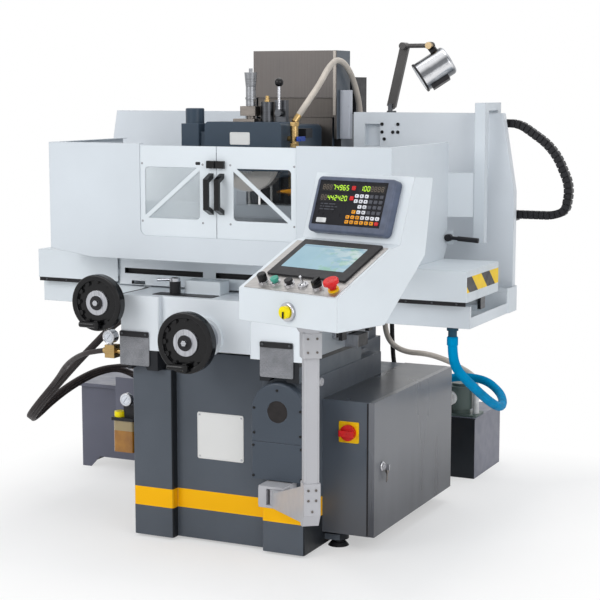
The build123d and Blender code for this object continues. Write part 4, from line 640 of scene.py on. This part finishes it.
# Plastics: roughness, texture, gloss, scale of the texture
BLACK = plastic("black_gloss", (15, 15, 17), 0.16, 0.02, 0.3)
SATIN = plastic("black_satin", (32, 32, 35), 0.42, 0.06, 0.25)
RUBBER = plastic("black_rubber", (32, 31, 33), 0.7, 0.25, 0.25, 1200)
FRAME = plastic("readout_case", (84, 92, 111), 0.4, 0.15, 0.3)
FACE = plastic("readout_face", (28, 28, 33), 0.3, 0.05, 0.12)
RED = plastic("red_gloss", (208, 24, 26), 0.24, 0.02, 0.3)
TEAL = plastic("green_gloss", (66, 158, 138), 0.26, 0.02, 0.3)
YELLOW = plastic("yellow_gloss", (250, 192, 8), 0.3, 0.03, 0.2)
LEMON = plastic("lemon_gloss", (252, 222, 8), 0.3, 0.03, 0.2)
BLUE = plastic("blue_gloss", (20, 62, 158), 0.3, 0.03, 0.3)
ORANGE = plastic("orange_gloss", (236, 158, 34), 0.32, 0.03, 0.2)
PALE = plastic("pale_plastic", (212, 213, 213), 0.45)
KEYWHITE = plastic("white_key", (226, 227, 233), 0.45)
KEYGREY = plastic("grey_key", (72, 74, 82), 0.45, 0.06, 0.3)
SLEEVE = plastic("hose_sleeve", (16, 64, 84), 0.45, 0.1, 0.3)
PLUG = plastic("brown_plug", (44, 41, 41), 0.5, 0.08, 0.15)
WIPER = wiper()

# Glass, grit, faces and lights
GLASS = window("clear_pane", 0.16, 1.0)
# The left door's pane shows more of its white body than the right: painted light that brightens the view
# into the guard
LIGHTENED_GLASS = window("left_pane_painted_light", 0.36, 0.25)
OIL = oil()
GRIT = grit()
GAUGE = gauge_face()
DISPLAY = display()
GREENLIGHT = lit("green_digits", (176, 226, 36), 0.45)
DIMLIGHT = lit("dim_digits", (84, 72, 58), 0.02)
LENS = lit("lamp_lens", (232, 234, 236), 0.1)


# Local frames: x along a face, y up it, z out of it

RIGHT = Vector((1, 0, 0))
REAR = Vector((0, 1, 0))
UP = Vector((0, 0, 1))
CONSOLE_TURN = radians(17)
POST = Vector((532, -508, 0))
ALONG = Vector((cos(CONSOLE_TURN), -sin(CONSOLE_TURN), 0))
DEEP = Vector((sin(CONSOLE_TURN), cos(CONSOLE_TURN), 0))
ARM_TURN = radians(36.1)
ARM_ALONG = Vector((cos(ARM_TURN), sin(ARM_TURN), 0))
ARM_OUT = ARM_ALONG.cross(UP)


def frame_at(origin, along, up):
    along, up = Vector(along).normalized(), Vector(up).normalized()
    matrix = Matrix((along, up, along.cross(up))).transposed().to_4x4()
    matrix.translation = at(*origin)
    return matrix


def front_frame(x, y, z):
    return frame_at((x, y, z), RIGHT, UP)


def side_frame(x, y, z):
    return frame_at((x, y, z), REAR, UP)


def top_frame(x, y, z):
    return frame_at((x, y, z), RIGHT, REAR)


def console_frame(depth, height, slope):
    """Frame at the left end of a sloping face of the console."""
    origin = POST + ALONG * -166 + DEEP * depth + UP * height
    return frame_at(origin, ALONG, DEEP * cos(slope) + UP * sin(slope))


PANEL = console_frame(-90, 872, radians(27))
READOUT = console_frame(152.5, 984.2, radians(71.3))


# Materials of the CAD nodes

# A face whose normal has this share of an axis looks along it
FLAT = 0.9


def bare(name):
    mesh = nodes[name].data
    mesh.materials.clear()
    return mesh


def dress(name, material):
    mesh = bare(name)
    mesh.materials.append(material)
    for polygon in mesh.polygons:
        polygon.material_index = 0


def slot_of(mesh, material):
    """Index of a material in a mesh, which gets the material at its first use."""
    index = mesh.materials.find(material.name)
    if index < 0:
        mesh.materials.append(material)
        index = len(mesh.materials) - 1
    return index


def dress_faces(name, pick):
    """pick(centre in mm, normal) gives a face's material."""
    mesh = bare(name)
    for polygon in mesh.polygons:
        polygon.material_index = slot_of(mesh, pick(back(polygon.center), polygon.normal))


def repaint(name, material, test):
    """Changes the faces that pass test(centre in mm, normal, material so far) to a material."""
    mesh = nodes[name].data
    index = slot_of(mesh, material)
    for polygon in mesh.polygons:
        if test(back(polygon.center), polygon.normal, mesh.materials[polygon.material_index]):
            polygon.material_index = index


def solids_of(mesh):
    """Groups of faces that touch, each with its box in millimetres."""
    lead = {}

    def find(k):
        while lead[k] != k:
            lead[k] = lead[lead[k]]
            k = lead[k]
        return k

    keys = []
    for v in mesh.vertices:
        key = tuple(round(c, 5) for c in v.co)
        keys.append(key)
        lead.setdefault(key, key)
    for polygon in mesh.polygons:
        first = find(keys[polygon.vertices[0]])
        for k in polygon.vertices[1:]:
            lead[find(keys[k])] = first
    groups = {}
    for polygon in mesh.polygons:
        groups.setdefault(find(keys[polygon.vertices[0]]), []).append(polygon)
    out = []
    for faces in groups.values():
        points = [back(mesh.vertices[k].co) for face in faces for k in face.vertices]
        low = Vector([min(p[i] for p in points) for i in range(3)])
        high = Vector([max(p[i] for p in points) for i in range(3)])
        out.append((faces, low, high))
    return out


def dress_solids(name, pick):
    """pick(low corner, high corner in mm) gives a whole solid's material."""
    mesh = bare(name)
    for faces, low, high in solids_of(mesh):
        index = slot_of(mesh, pick(low, high))
        for face in faces:
            face.material_index = index


PLAIN = {
    "arm_bracket": GREY, "base_casting": BASE, "cable_chain": SATIN, "clamp_lever": SATIN,
    "cross_grip": BLACK, "dimmer_knob": BLACK, "dresser_thimble": THIMBLE, "estop_button": RED,
    "grinding_wheel": GRIT, "guard_shell": GUARDWHITE, "lamp_lower_arm": LAMPARM,
    "leveling_feet": SATIN, "mag_chuck": GROUND, "main_switch": RED, "reversing_lever": STEEL,
    "selector_knob": BLACK, "spindle": GROUND, "start_button": TEAL, "stop_button": SATIN,
    "table_cylinder": GROUND, "table_grip": BLACK, "toggle_lever": CHROME, "touch_panel": SATIN,
    "valve_handle": BLUE, "wheel_guard": HEAD,
}
for name in nodes:
    dress(name, PLAIN.get(name, WHITE))


# Base, column and the units beside them

# The column's front faces are painted near black: painted shade seen through the windows
dress_faces("column_casting", lambda c, n: COLUMN_SHADE if n.y < -FLAT else SLATE)


def pick_gear(low, high):
    wide = high.x - low.x
    if wide < 20:
        return BLACK
    return PLUG if wide < 90 else GEAR


gear_low, gear_high = (back(corner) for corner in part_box("gear_covers"))
PLUG_RADIUS = 32
GEAR_X = (gear_low.x + gear_high.x) / 2
PLUG_Z = gear_high.z - (gear_high.x - gear_low.x) / 2
dress_solids("gear_covers", pick_gear)
repaint("gear_covers", PLUG,
        lambda c, n, m: n.y < -FLAT and hypot(c.x - GEAR_X, c.z - PLUG_Z) < PLUG_RADIUS)


def pick_column(low, high):
    size = high - low
    if size.x > 250:
        return STAINLESS
    if low.z > 1280 and low.y > 700:
        return SATIN
    if size.z > 500 and high.x < 30:
        return GROUND
    if low.x > 140 and high.y < 600:
        return SCALE
    return GREY if size.z > 400 else SATIN


dress_solids("column_fittings", pick_column)
repaint("column_fittings", SLATE, lambda c, n, m: n.x > FLAT and m == STAINLESS)


def pick_cabinet(low, high):
    wide = high.x - low.x
    if wide > 140:
        return CABINET
    if high.y < 101:
        return YELLOW
    return PALE if wide < 4 else SATIN


dress_solids("cabinet_shell", pick_cabinet)
# The shell's top faces get a darker copy of the coat, as painted shade
repaint("cabinet_shell", CABINETTOP, lambda c, n, m: n.z > FLAT and m == CABINET)
dress_solids("cabinet_door", lambda low, high: CABINETDOOR if high.z - low.z > 200 else CHROME)


def pick_hydraulic(low, high):
    if high.z > 400:
        return SLATE
    return BRASS if high.x - low.x < 120 else TANK


def pick_lubricator(low, high):
    if low.z < 260 and high.z < 360:
        return OIL
    if high.z > 450:
        return TANK
    if high.z - low.z < 20:
        return LEMON
    return CHROME if low.z > 390 else SATIN


def pick_coolant(low, high):
    size = high - low
    if size.x > 250:
        return TANK
    if size.z > 100 and size.x > 80:
        return PUMP
    return PALE if size.z > 70 or low.z > 250 else SATIN


dress_solids("hydraulic_unit", pick_hydraulic)
dress_solids("lubricator", pick_lubricator)
dress_solids("coolant_unit", pick_coolant)
# The tank's front faces are painted dark: painted shade behind the cabinet
repaint("coolant_unit", TANK_FRONT_SHADE, lambda c, n, m: n.y < -FLAT and m == TANK)


# Saddle, table and doors

COLLARS = ((-72.5, ALUMINIUM), (-75.5, DARKSTEEL), (-92.5, DIAL), (-107.5, DARKSTEEL), (-200, ALUMINIUM))


def pick_saddle(c, n):
    """The cross feed boss steps through its collars from the saddle's front outwards."""
    if hypot(c.x - CROSS_X, c.z - CROSS_Z) < 53 and c.y < -50.5:
        for depth, material in COLLARS:
            if c.y > depth:
                return material
    # Painted shade: the saddle below its floor goes near black, its right side grey where the console and
    # trays shade it
    beside = n.x > 0.5 and c.x > 250
    if c.z < 591:
        return WAYSIDE if beside else WAYSHADE
    return SIDESHADE if beside and c.z < 720 else CASTWHITE


def pick_trim(c, n):
    if c.y < -66.2:
        return DARKSTEEL
    if c.y < -63.2:
        return SATIN
    if c.y < -50:
        return WIPER
    if c.z < 630 and n.y < -0.5:
        return ALUMINIUM
    return STEEL if 640 < c.z < 662.5 and c.x < 324.5 else SATIN


def pick_valve(low, high):
    if low.z > 700:
        return WHITE if high.x - low.x > 110 else SATIN
    return CHROME if high.z > 630 else BRASS


def pick_tray(low, high):
    if high.x - low.x < 200 and high.z < 700:
        return BRASS
    return WHITE if high.x < 0 else TRAYWHITE


def pick_end_box(c, n):
    if c.z < 769.5:
        return RUBBER
    if c.x < 0:
        return WHITE
    return HAZARD if n.x > FLAT and c.x > 729 else BOXWHITE


def pick_table(c, n):
    if abs(c.x) > 432:
        return DARKSTEEL
    # The faces inside the slots are painted black satin: painted shade in the recess
    slot = 796.5 < c.z < 814.5 or 763.5 < c.z < 775.5
    return SATIN if slot and 130.5 < c.y < 147 else CASTWHITE


def pick_door(pane):
    def pick(low, high):
        size = high - low
        if size.z > 260:
            return WHITE
        return pane if size.x > 150 else BLACK

    return pick


dress_faces("saddle_casting", pick_saddle)
dress_faces("saddle_trim", pick_trim)
dress_solids("valve_gear", pick_valve)
dress_solids("saddle_trays", pick_tray)
repaint("saddle_trays", SLEEVE,
        lambda c, n, m: hypot(c.x - DRAIN_X, c.y - DRAIN_Y) < SPIGOT_RADIUS and c.z < SPIGOT_TOP)
dress_solids("rear_panels", lambda low, high: PANELWHITE if high.z - low.z > 300 else DARKSTEEL)
dress_faces("table_end_boxes", pick_end_box)
dress_faces("table_casting", pick_table)
dress_solids("door_left", pick_door(LIGHTENED_GLASS))
dress_solids("door_right", pick_door(GLASS))


def pick_wheel(name):
    low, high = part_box(name)
    middle = back((low + high) / 2)
    face = middle.y - (high.y - low.y) * 500
    radius = (high.x - low.x) * 500

    def pick(c, n):
        reach = hypot(c.x - middle.x, c.z - middle.z)
        if reach < 11 and c.y < face + 25:
            return STEEL
        if reach < 0.25 * radius:
            return SATIN
        return ALUMINIUM if reach < 0.45 * radius and c.y < face + 29 else BLACK

    return pick


for name in ("cross_handwheel", "table_handwheel"):
    dress_faces(name, pick_wheel(name))


# Wheelhead, lamp and console

def pick_head(low, high):
    if high.z > 1400:
        return DEEPSTAINLESS
    return SATIN if low.x > 80 else HEAD


def pick_dresser(low, high):
    if high.z - low.z < 25:
        return BRASS
    return DARKSTEEL if low.x > 30 else WORNSTEEL


def pick_dresser_lever(c, n):
    if c.z > 1378:
        return BLACK
    return DARKSTEEL if c.z < 1317 else STEEL


def pick_lamp(c, n):
    depth = (c - LAMP_REAR).dot(LAMP_AIM)
    reach = (c - LAMP_REAR - LAMP_AIM * depth).length
    if depth > 98.5 and reach < 43.5:
        return LENS
    if depth > 103.5 or reach > 49.5:
        return SATIN
    return ALUMINIUM if reach < 45 and 2 < depth else LAMPSHELL


def pick_console(c, n):
    spot = PANEL.inverted() @ at(*c) * 1000
    if (c - POST).dot(DEEP) < -90.5:
        return CHROME
    if 0 < spot.y < 235 and 0.3 < spot.z < 2.05:
        return PLATE
    if 0 < spot.y < 60 and 2.05 < spot.z < 8:
        return YELLOW if spot.x > 275 else CHROME
    return WHITE


def pick_readout(c, n):
    spot = READOUT.inverted() @ at(*c) * 1000
    inside = 42 < spot.x < 275 and 32 < spot.y < 154
    return FACE if 23.5 < spot.z < 24.5 and inside else FRAME


dress_solids("wheelhead", pick_head)
repaint("wheelhead", DEEPSTAINLESS, lambda c, n, m: n.y < -FLAT and 520 < c.y < 540)
dress_solids("coolant_valve", lambda low, high: ORANGE if high.z - low.z < 60 else BRASS)
dress_solids("dresser", pick_dresser)
dress_faces("dresser_lever", pick_dresser_lever)
dress_faces("lamp_upper_arm", lambda c, n: BRONZE if c.x > 437 else LAMPARM)
dress_faces("lamp_head", pick_lamp)
dress_solids("pendant_arm", lambda low, high: COUPLING if 690 < low.z < 705 else GREY)
dress_faces("console_housing", pick_console)
dress_faces("dro_unit", pick_readout)
dress_faces("feed_knob", lambda c, n: BLACK if (c - POST).dot(DEEP) < -109.5 else LEMON)


# Small pieces, built up from outlines in a local frame, in millimetres

def circle(radius, x=0.0, y=0.0, count=24):
    turns = [2 * pi * k / count for k in range(count)]
    return [(x + radius * cos(turn), y + radius * sin(turn)) for turn in turns]


def rounded(x, y, wide, high, cut):
    """Rectangle round x, y with cut corners."""
    a, b = wide / 2, high / 2
    return [(x - a + cut, y - b), (x + a - cut, y - b), (x + a, y - b + cut), (x + a, y + b - cut),
            (x + a - cut, y + b), (x - a + cut, y + b), (x - a, y + b - cut), (x - a, y - b + cut)]


def stack(*levels):
    """Closed solid through outlines of equal count, each with its height."""
    verts, faces = [], []
    count = len(levels[0][0])
    for outline, height in levels:
        verts += [(x, y, height) for x, y in outline]
    for row in range(len(levels) - 1):
        for k in range(count):
            a, b = row * count + k, row * count + (k + 1) % count
            faces.append((a, b, b + count, a + count))
    last = (len(levels) - 1) * count
    faces.append(tuple(range(count))[::-1])
    faces.append(tuple(range(last, last + count)))
    return verts, faces


def prism(outline, base, top):
    return stack((outline, base), (outline, top))


def turned(*levels, x=0.0, y=0.0, count=24):
    """Round solid through radii, each with its height."""
    return stack(*[(circle(radius, x, y, count), height) for radius, height in levels])


def tile(x, y, foot, top, cut, base, tall):
    """Thin plate from the width and height of its foot to those of its top."""
    return stack((rounded(x, y, *foot, cut), base), (rounded(x, y, *top, cut), base + tall))


def socket_screw(x, y, radius, tall):
    return turned((radius, 0), (radius, 0.8 * tall), (0.85 * radius, tall), (0.45 * radius, tall),
                  (0.45 * radius, 0.3 * tall), x=x, y=y)


def rivet(x, y, radius, tall, base):
    return turned((radius, base), (0.9 * radius, base + 0.5 * tall), (0.5 * radius, base + tall),
                  x=x, y=y, count=16)


def sunk_plate(x, y, wide, high, tall, base, cut=4.0):
    """Thin plate with a chamfered rim and a slightly lower field."""
    levels = ((0, 0), (0, 0.6), (2, 1), (8, 1), (9, 0.75))
    return stack(*[(rounded(x, y, wide - inset, high - inset, cut), base + share * tall)
                   for inset, share in levels])


def add_piece(name, body, matrix, material, shapes, smooth=False):
    verts, faces = [], []
    for points, sides in shapes:
        step = len(verts)
        verts += [tuple(c / 1000 for c in p) for p in points]
        faces += [tuple(k + step for k in side) for side in sides]
    mesh = bpy.data.meshes.new(name)
    mesh.from_pydata(verts, [], faces)
    mesh.materials.append(material)
    for polygon in mesh.polygons:
        polygon.use_smooth = smooth and len(polygon.vertices) == 4
    made = linked(name, mesh)
    made.matrix_world = matrix
    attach(made, body)


# Console display and position readout. Places on the readout's face are shares across and down it.

FACE_LEFT, FACE_WIDE, FACE_TOP, FACE_HIGH = 43, 231, 153, 120
FIELD = 24.0
GLASS_TALL = 0.5
FIGURE_WIDE, FIGURE_HIGH, FIGURE_STEP = 7, 12, 0.05
KEY_FIRST, KEY_STEP, KEY_TALL = 0.512, 0.0715, 2.2
KEY_ROWS = (0.32, 0.437, 0.557, 0.677, 0.797, 0.906)
SEGMENTS = ("abcdef", "bc", "abged", "abgcd", "fgbc", "afgcd", "afgedc", "abc", "abcdefg", "abcdfg")


def across(share):
    return FACE_LEFT + FACE_WIDE * share


def down(share):
    return FACE_TOP - FACE_HIGH * share


def segment(x0, y0, x1, y1):
    """Level or upright bar with pointed ends."""
    h = 0.15 * FIGURE_WIDE
    if y0 == y1:
        line = [(x0, y0), (x0 + h, y0 - h), (x1 - h, y0 - h),
                (x1, y0), (x1 - h, y0 + h), (x0 + h, y0 + h)]
    else:
        line = [(x0, y0), (x0 + h, y0 + h), (x0 + h, y1 - h),
                (x0, y1), (x0 - h, y1 - h), (x0 - h, y0 + h)]
    base = FIELD + GLASS_TALL
    return prism(line, base, base + 0.3)


def digit(x, y, value):
    """Seven-segment figure with its lower left corner at x, y."""
    right, middle, top = x + FIGURE_WIDE, y + FIGURE_HIGH / 2, y + FIGURE_HIGH
    lines = {"a": (x, top, right, top), "g": (x, middle, right, middle), "d": (x, y, right, y),
             "f": (x, middle, x, top), "b": (right, middle, right, top),
             "e": (x, y, x, middle), "c": (right, y, right, middle)}
    return [segment(*lines[k]) for k in SEGMENTS[value]]


def figures(first, row, values):
    """Row of figures from a share across the face, centred on a share down it."""
    shapes = []
    for k, value in enumerate(values):
        shapes += digit(across(first + FIGURE_STEP * k), down(row) - FIGURE_HIGH / 2, value)
    return shapes


def glass(x0, y0, x1, y1):
    x, y = (across(x0) + across(x1)) / 2, (down(y0) + down(y1)) / 2
    wide, high = across(x1) - across(x0), down(y0) - down(y1)
    return tile(x, y, (wide, high), (wide - 1, high - 1), 2, FIELD, GLASS_TALL)


def key_cap(x, y, wide, high):
    return stack((rounded(x, y, wide, high, 1.6), FIELD),
                 (rounded(x, y, wide - 0.6, high - 0.6, 1.6), FIELD + 0.7 * KEY_TALL),
                 (rounded(x, y, wide - 2.4, high - 2.4, 1.6), FIELD + KEY_TALL))


def key_place(column, row):
    return across(KEY_FIRST + KEY_STEP * column), down(KEY_ROWS[row])


def keys(spots):
    return [key_cap(*key_place(*spot), 12.5, 9.8) for spot in spots]


def marks(spots):
    """Thin printed bar on each key."""
    return [tile(*key_place(*spot), (4.6, 3.4), (4.2, 3.0), 1.0, FIELD + KEY_TALL, 0.15) for spot in spots]


def bar_row(row, first, lengths):
    """Row of thin printed bars from a share across the face."""
    shapes = []
    for length in lengths:
        x = across(first) + length / 2
        shapes.append(tile(x, down(row), (length, 2.6), (length - 0.3, 2.3), 0.6, FIELD, 0.15))
        first += (length + 3) / FACE_WIDE
    return shapes


def on_readout(name, material, shapes):
    add_piece("readout_" + name, "console", READOUT, material, shapes)


# Keys by column and row
WHITE_KEYS = [(c, r) for r in (0, 1) for c in (1, 2, 3)] + [(c, r) for r in (2, 3) for c in (2, 3)]
WHITE_KEYS += [(c, 4) for c in (3, 4, 5, 6)]
GREY_KEYS = [(c, r) for r in range(4) for c in (4, 5, 6)]
ORANGE_KEYS = [(1, 3)] + [(c, 4) for c in (0, 1, 2)] + [(c, 5) for c in range(6)]
RED_KEYS = [(6, 5)]

add_piece("touch_screen", "console", PANEL, DISPLAY,
          [tile(171.5, 155, (210, 108), (209, 107), 2, 8, 0.4)])
on_readout("windows", BLACK,
           [glass(0.04, 0.05, 0.47, 0.26), glass(0.04, 0.29, 0.47, 0.49), glass(0.58, 0.05, 0.98, 0.25)])
on_readout("figures", GREENLIGHT,
           figures(0.21, 0.155, (7, 4, 9, 6, 5)) + figures(0.16, 0.39, (4, 4, 2, 4, 2, 0))
           + figures(0.615, 0.15, (1, 0, 0)))
on_readout("dim_figures", DIMLIGHT,
           figures(0.06, 0.155, (8, 8, 8)) + figures(0.06, 0.39, (8, 8))
           + figures(0.765, 0.15, (8, 8, 8, 8)))
on_readout("keys_white", KEYWHITE, keys(WHITE_KEYS))
on_readout("keys_grey", KEYGREY, keys(GREY_KEYS))
on_readout("keys_orange", ORANGE, keys(ORANGE_KEYS))
on_readout("key_marks", KEYGREY, marks(WHITE_KEYS + ORANGE_KEYS))
on_readout("keys_red", RED,
           keys(RED_KEYS) + [key_cap(across(0.514), down(row), 13, 12) for row in (0.151, 0.38)])
on_readout("legend", KEYGREY,
           bar_row(0.53, 0.07, (9, 14, 22)) + bar_row(0.59, 0.07, (6, 6, 18, 8, 9))
           + bar_row(0.65, 0.07, (12, 20, 12)))
on_readout("plate", PALE,
           [sunk_plate(across(0.13), down(0.9), 34, 13, 0.5, FIELD, 1.5)])


# Plates, screws and gauges

BASE_FRONT = front_frame(0, 0, 0)
DOOR_FRONT = front_frame(0, -17.7, 0)
GAUGE_FRONT = front_frame(-375, -28, 617)
ELBOW_FACE = frame_at(POST + ARM_OUT * 22, ARM_ALONG, UP)
COUPLING_FACE = frame_at(POST + ARM_OUT * 25, ARM_ALONG, UP)
LOCK = side_frame(458.3, 161, 256)
PLATE_X, PLATE_Z = -2, 333
PANEL_SCREWS = ((292, 1263), (346, 1263), (292, 1238), (329, 1238), (346, 1238), (300, 1216))
ELBOW_SCREWS = ((-10, 355), (10, 355), (-10, 328), (10, 328), (0, 299))

add_piece("base_plate", "base", BASE_FRONT, BAREPLATE,
          [sunk_plate(PLATE_X, PLATE_Z, 158, 144, 1.4, 0)])
add_piece("base_plate_rivets", "base", BASE_FRONT, STEEL,
          [rivet(PLATE_X + a * 71, PLATE_Z + b * 64, 3, 2.4, 1.0) for a in (-1, 1) for b in (-1, 1)],
          smooth=True)
add_piece("head_plate", "wheelhead", front_frame(0, 150, 0), BAREPLATE,
          [sunk_plate(-9, 1225, 68, 38, 1.2, 0, 3)])
add_piece("way_plate", "saddle", top_frame(0, 0, 757), SATIN,
          [tile(-122, 8, (206, 54), (204, 52), 3, 0, 1.6)])
for side, body in ((-1, "door_left"), (1, "door_right")):
    add_piece(body + "_screws", body, DOOR_FRONT, GROUND,
              [socket_screw(side * x, z, 3.4, 0.25) for x in (46, 253) for z in (980, 1153)])
add_piece("door_latch", "door_left", DOOR_FRONT, SATIN,
          [tile(-62, 1156, (16, 9), (15.6, 8.6), 1.6, 0, 0.25)])
add_piece("elbow_screws", "pendant_arm", ELBOW_FACE, WORNSTEEL,
          [socket_screw(x, z, 3.2, 3) for x, z in ELBOW_SCREWS])
add_piece("coupling_screws", "pendant_arm", COUPLING_FACE, WORNSTEEL,
          [socket_screw(x, z, 3, 2.5) for x in (-12, 12) for z in (749, 714)])
add_piece("door_seal", "base", front_frame(0, 100, 0), RUBBER,
          [tile(436.5, 254, (5, 404), (4.4, 403), 1, 0, 0.6)])
# A paler stainless strip on the cover's front corner: painted highlight where the bent flange catches the
# light
add_piece("cover_edge_highlight", "base", front_frame(0, 518, 0), PALESTAINLESS,
          [tile(140.5, 1392, (10, 204), (9.4, 203), 1, 0, 0.8)])


def key_blade(x, y, lean):
    """Flat key that hangs from its bow at x, y."""
    side, drop = cos(lean), sin(lean)
    half = [(0, -9), (4, -9), (8, -4), (8, 6), (4, 11), (2.5, 12), (2.5, 34)]
    outline = half + [(0, 38)] + [(-a, b) for a, b in half[:0:-1]]
    return [(x + a * side + b * drop, y + a * drop - b * side) for a, b in outline[::-1]]


add_piece("door_lock_plate", "cabinet_door", LOCK, CHROME,
          [turned((15, 0), (15, 2.5), (12.5, 5), (8, 5), (7.5, 3))], smooth=True)
add_piece("door_keys", "cabinet_door", LOCK, WORNSTEEL,
          [prism(key_blade(14, -12, 0.25), 8, 10), prism(key_blade(18, -14, -0.3), 11, 13)])
add_piece("panel_screws", "saddle", front_frame(0, 550, 0), BLACK,
          [socket_screw(x, z, 5.5, 2.6) for x, z in PANEL_SCREWS])
add_piece("pressure_gauge_face", "saddle", GAUGE_FRONT, GAUGE,
          [turned((18.5, 0), (18.5, 0.4), (16.5, 0.9))])
add_piece("pressure_gauge_rim", "saddle", GAUGE_FRONT, CHROME,
          [turned((21, 0), (21, 1.4), (20, 2.2), (18, 2.2), (18, 0.6))], smooth=True)
add_piece("lubricator_gauge_face", "base", front_frame(-337, 3, 418), GAUGE,
          [turned((17.5, 0), (17.5, 0.4), (15.8, 0.9))])
add_piece("lifting_ring", "base", side_frame(290, 80, 513), GREY,
          [turned((13, 0), (13, 6), (11, 9), (6.5, 9), (6, 4))], smooth=True)
add_piece("drain_sleeve", "saddle", top_frame(DRAIN_X, DRAIN_Y, 634), AZURE,
          [turned((15, 0), (16.5, 1), (16.5, 23), (15, 25))], smooth=True)
add_piece("strip_screws", "table", front_frame(0, 121, 0), DARKSTEEL,
          [socket_screw(side * x, 764, 3, 1.5) for side in (-1, 1) for x in (545, 625, 700)])


def curtain(x0, x1, y, pleats):
    """Outline of a pleated rubber sheet seen from above, 1.5 mm thick."""
    step = (x1 - x0) / (2 * pleats)
    near = [(x0 + k * step, y + (5 if k % 2 else 0)) for k in range(2 * pleats + 1)]
    return near + [(x, deep + 1.5) for x, deep in near[::-1]]


add_piece("splash_curtain", "saddle", top_frame(0, 0, 760), RUBBER,
          [prism(curtain(-191.5, -151, 553, 6), 0, 500)])


# Floor, backdrop and light

FLOOR_HALF = 14
FLOOR_DROP = 0.0005
MACHINE_MIDDLE = (0, 200, 700)
# Half the ground that the machine stands on, in metres
GROUND_X, GROUND_Y = 0.8, 0.85


def seen_share(tree):
    """1 for rays from the camera, off gloss and through glass, which show the white backdrop."""
    rays = tree.nodes.new("ShaderNodeLightPath")
    share = rays.outputs["Is Camera Ray"]
    for name in ("Is Glossy Ray", "Is Transmission Ray"):
        either = tree.nodes.new("ShaderNodeMath")
        either.operation = "MAXIMUM"
        tree.links.new(share, either.inputs[0])
        tree.links.new(rays.outputs[name], either.inputs[1])
        share = either.outputs[0]
    return share


def mix_shaders(tree, share, one, two, output):
    blend = tree.nodes.new("ShaderNodeMixShader")
    for socket, value in zip(blend.inputs, (share, one.outputs[0], two.outputs[0])):
        tree.links.new(value, socket)
    tree.links.new(blend.outputs[0], tree.nodes[output].inputs[0])


def floor_material():
    """Pale floor that keeps the shadow near the machine and is the white backdrop further out."""
    s = Shader("studio_floor")
    x, y, _ = s.axes()
    s.colour(s.mix(s.blotches(1.5), (246, 246, 246), (251, 251, 251)))
    s.uneven(2, 0.7, 0.8)
    wide = s.math("SUBTRACT", s.math("ABSOLUTE", x), GROUND_X)
    deep = s.math("SUBTRACT", s.math("ABSOLUTE", y), GROUND_Y)
    far = s.remap(s.math("MAXIMUM", wide, deep), 0.45, 1, -0.1, 0.4)
    share = s.times(seen_share(s.tree), far)
    glow = s.node("Emission", Color=(1, 1, 1, 1))
    mix_shaders(s.tree, share, s.bsdf, glow, "Material Output")
    return s.done()


def studio_floor():
    h = FLOOR_HALF
    mesh = bpy.data.meshes.new("floor")
    mesh.from_pydata([(-h, -h, 0), (h, -h, 0), (h, h, 0), (-h, h, 0)], [], [(0, 1, 2, 3)])
    mesh.materials.append(floor_material())
    floor = linked("floor", mesh)
    floor.location.z = -FLOOR_DROP


def studio_world():
    """White where it is seen, a dimmer bluish light on the machine."""
    world = bpy.data.worlds.new("studio")
    scene.world = world
    world.use_nodes = True
    tree = world.node_tree
    backdrop = tree.nodes["Background"]
    ambient = tree.nodes.new("ShaderNodeBackground")
    for light, colour, strength in ((backdrop, (1, 1, 1, 1), 1.0), (ambient, (0.95, 0.97, 1.0, 1), 0.53)):
        light.inputs[0].default_value = colour
        light.inputs[1].default_value = strength
    mix_shaders(tree, seen_share(tree), ambient, backdrop, "World Output")


def softbox(name, place, size, watts):
    """Area lamp that points at the middle of the machine."""
    lamp = bpy.data.lights.new(name, "AREA")
    lamp.shape = "RECTANGLE"
    lamp.size, lamp.size_y = size
    lamp.energy = watts
    spot = linked(name, lamp)
    spot.location = at(*place)
    spot.rotation_euler = (at(*MACHINE_MIDDLE) - spot.location).to_track_quat("-Z", "Y").to_euler()


studio_floor()
studio_world()
softbox("key", (-1700, -3400, 2700), (2.4, 2.4), 66)
softbox("fill", (3400, -2000, 2100), (2.0, 2.6), 46)
softbox("top", (200, 900, 4200), (3.0, 3.0), 52)
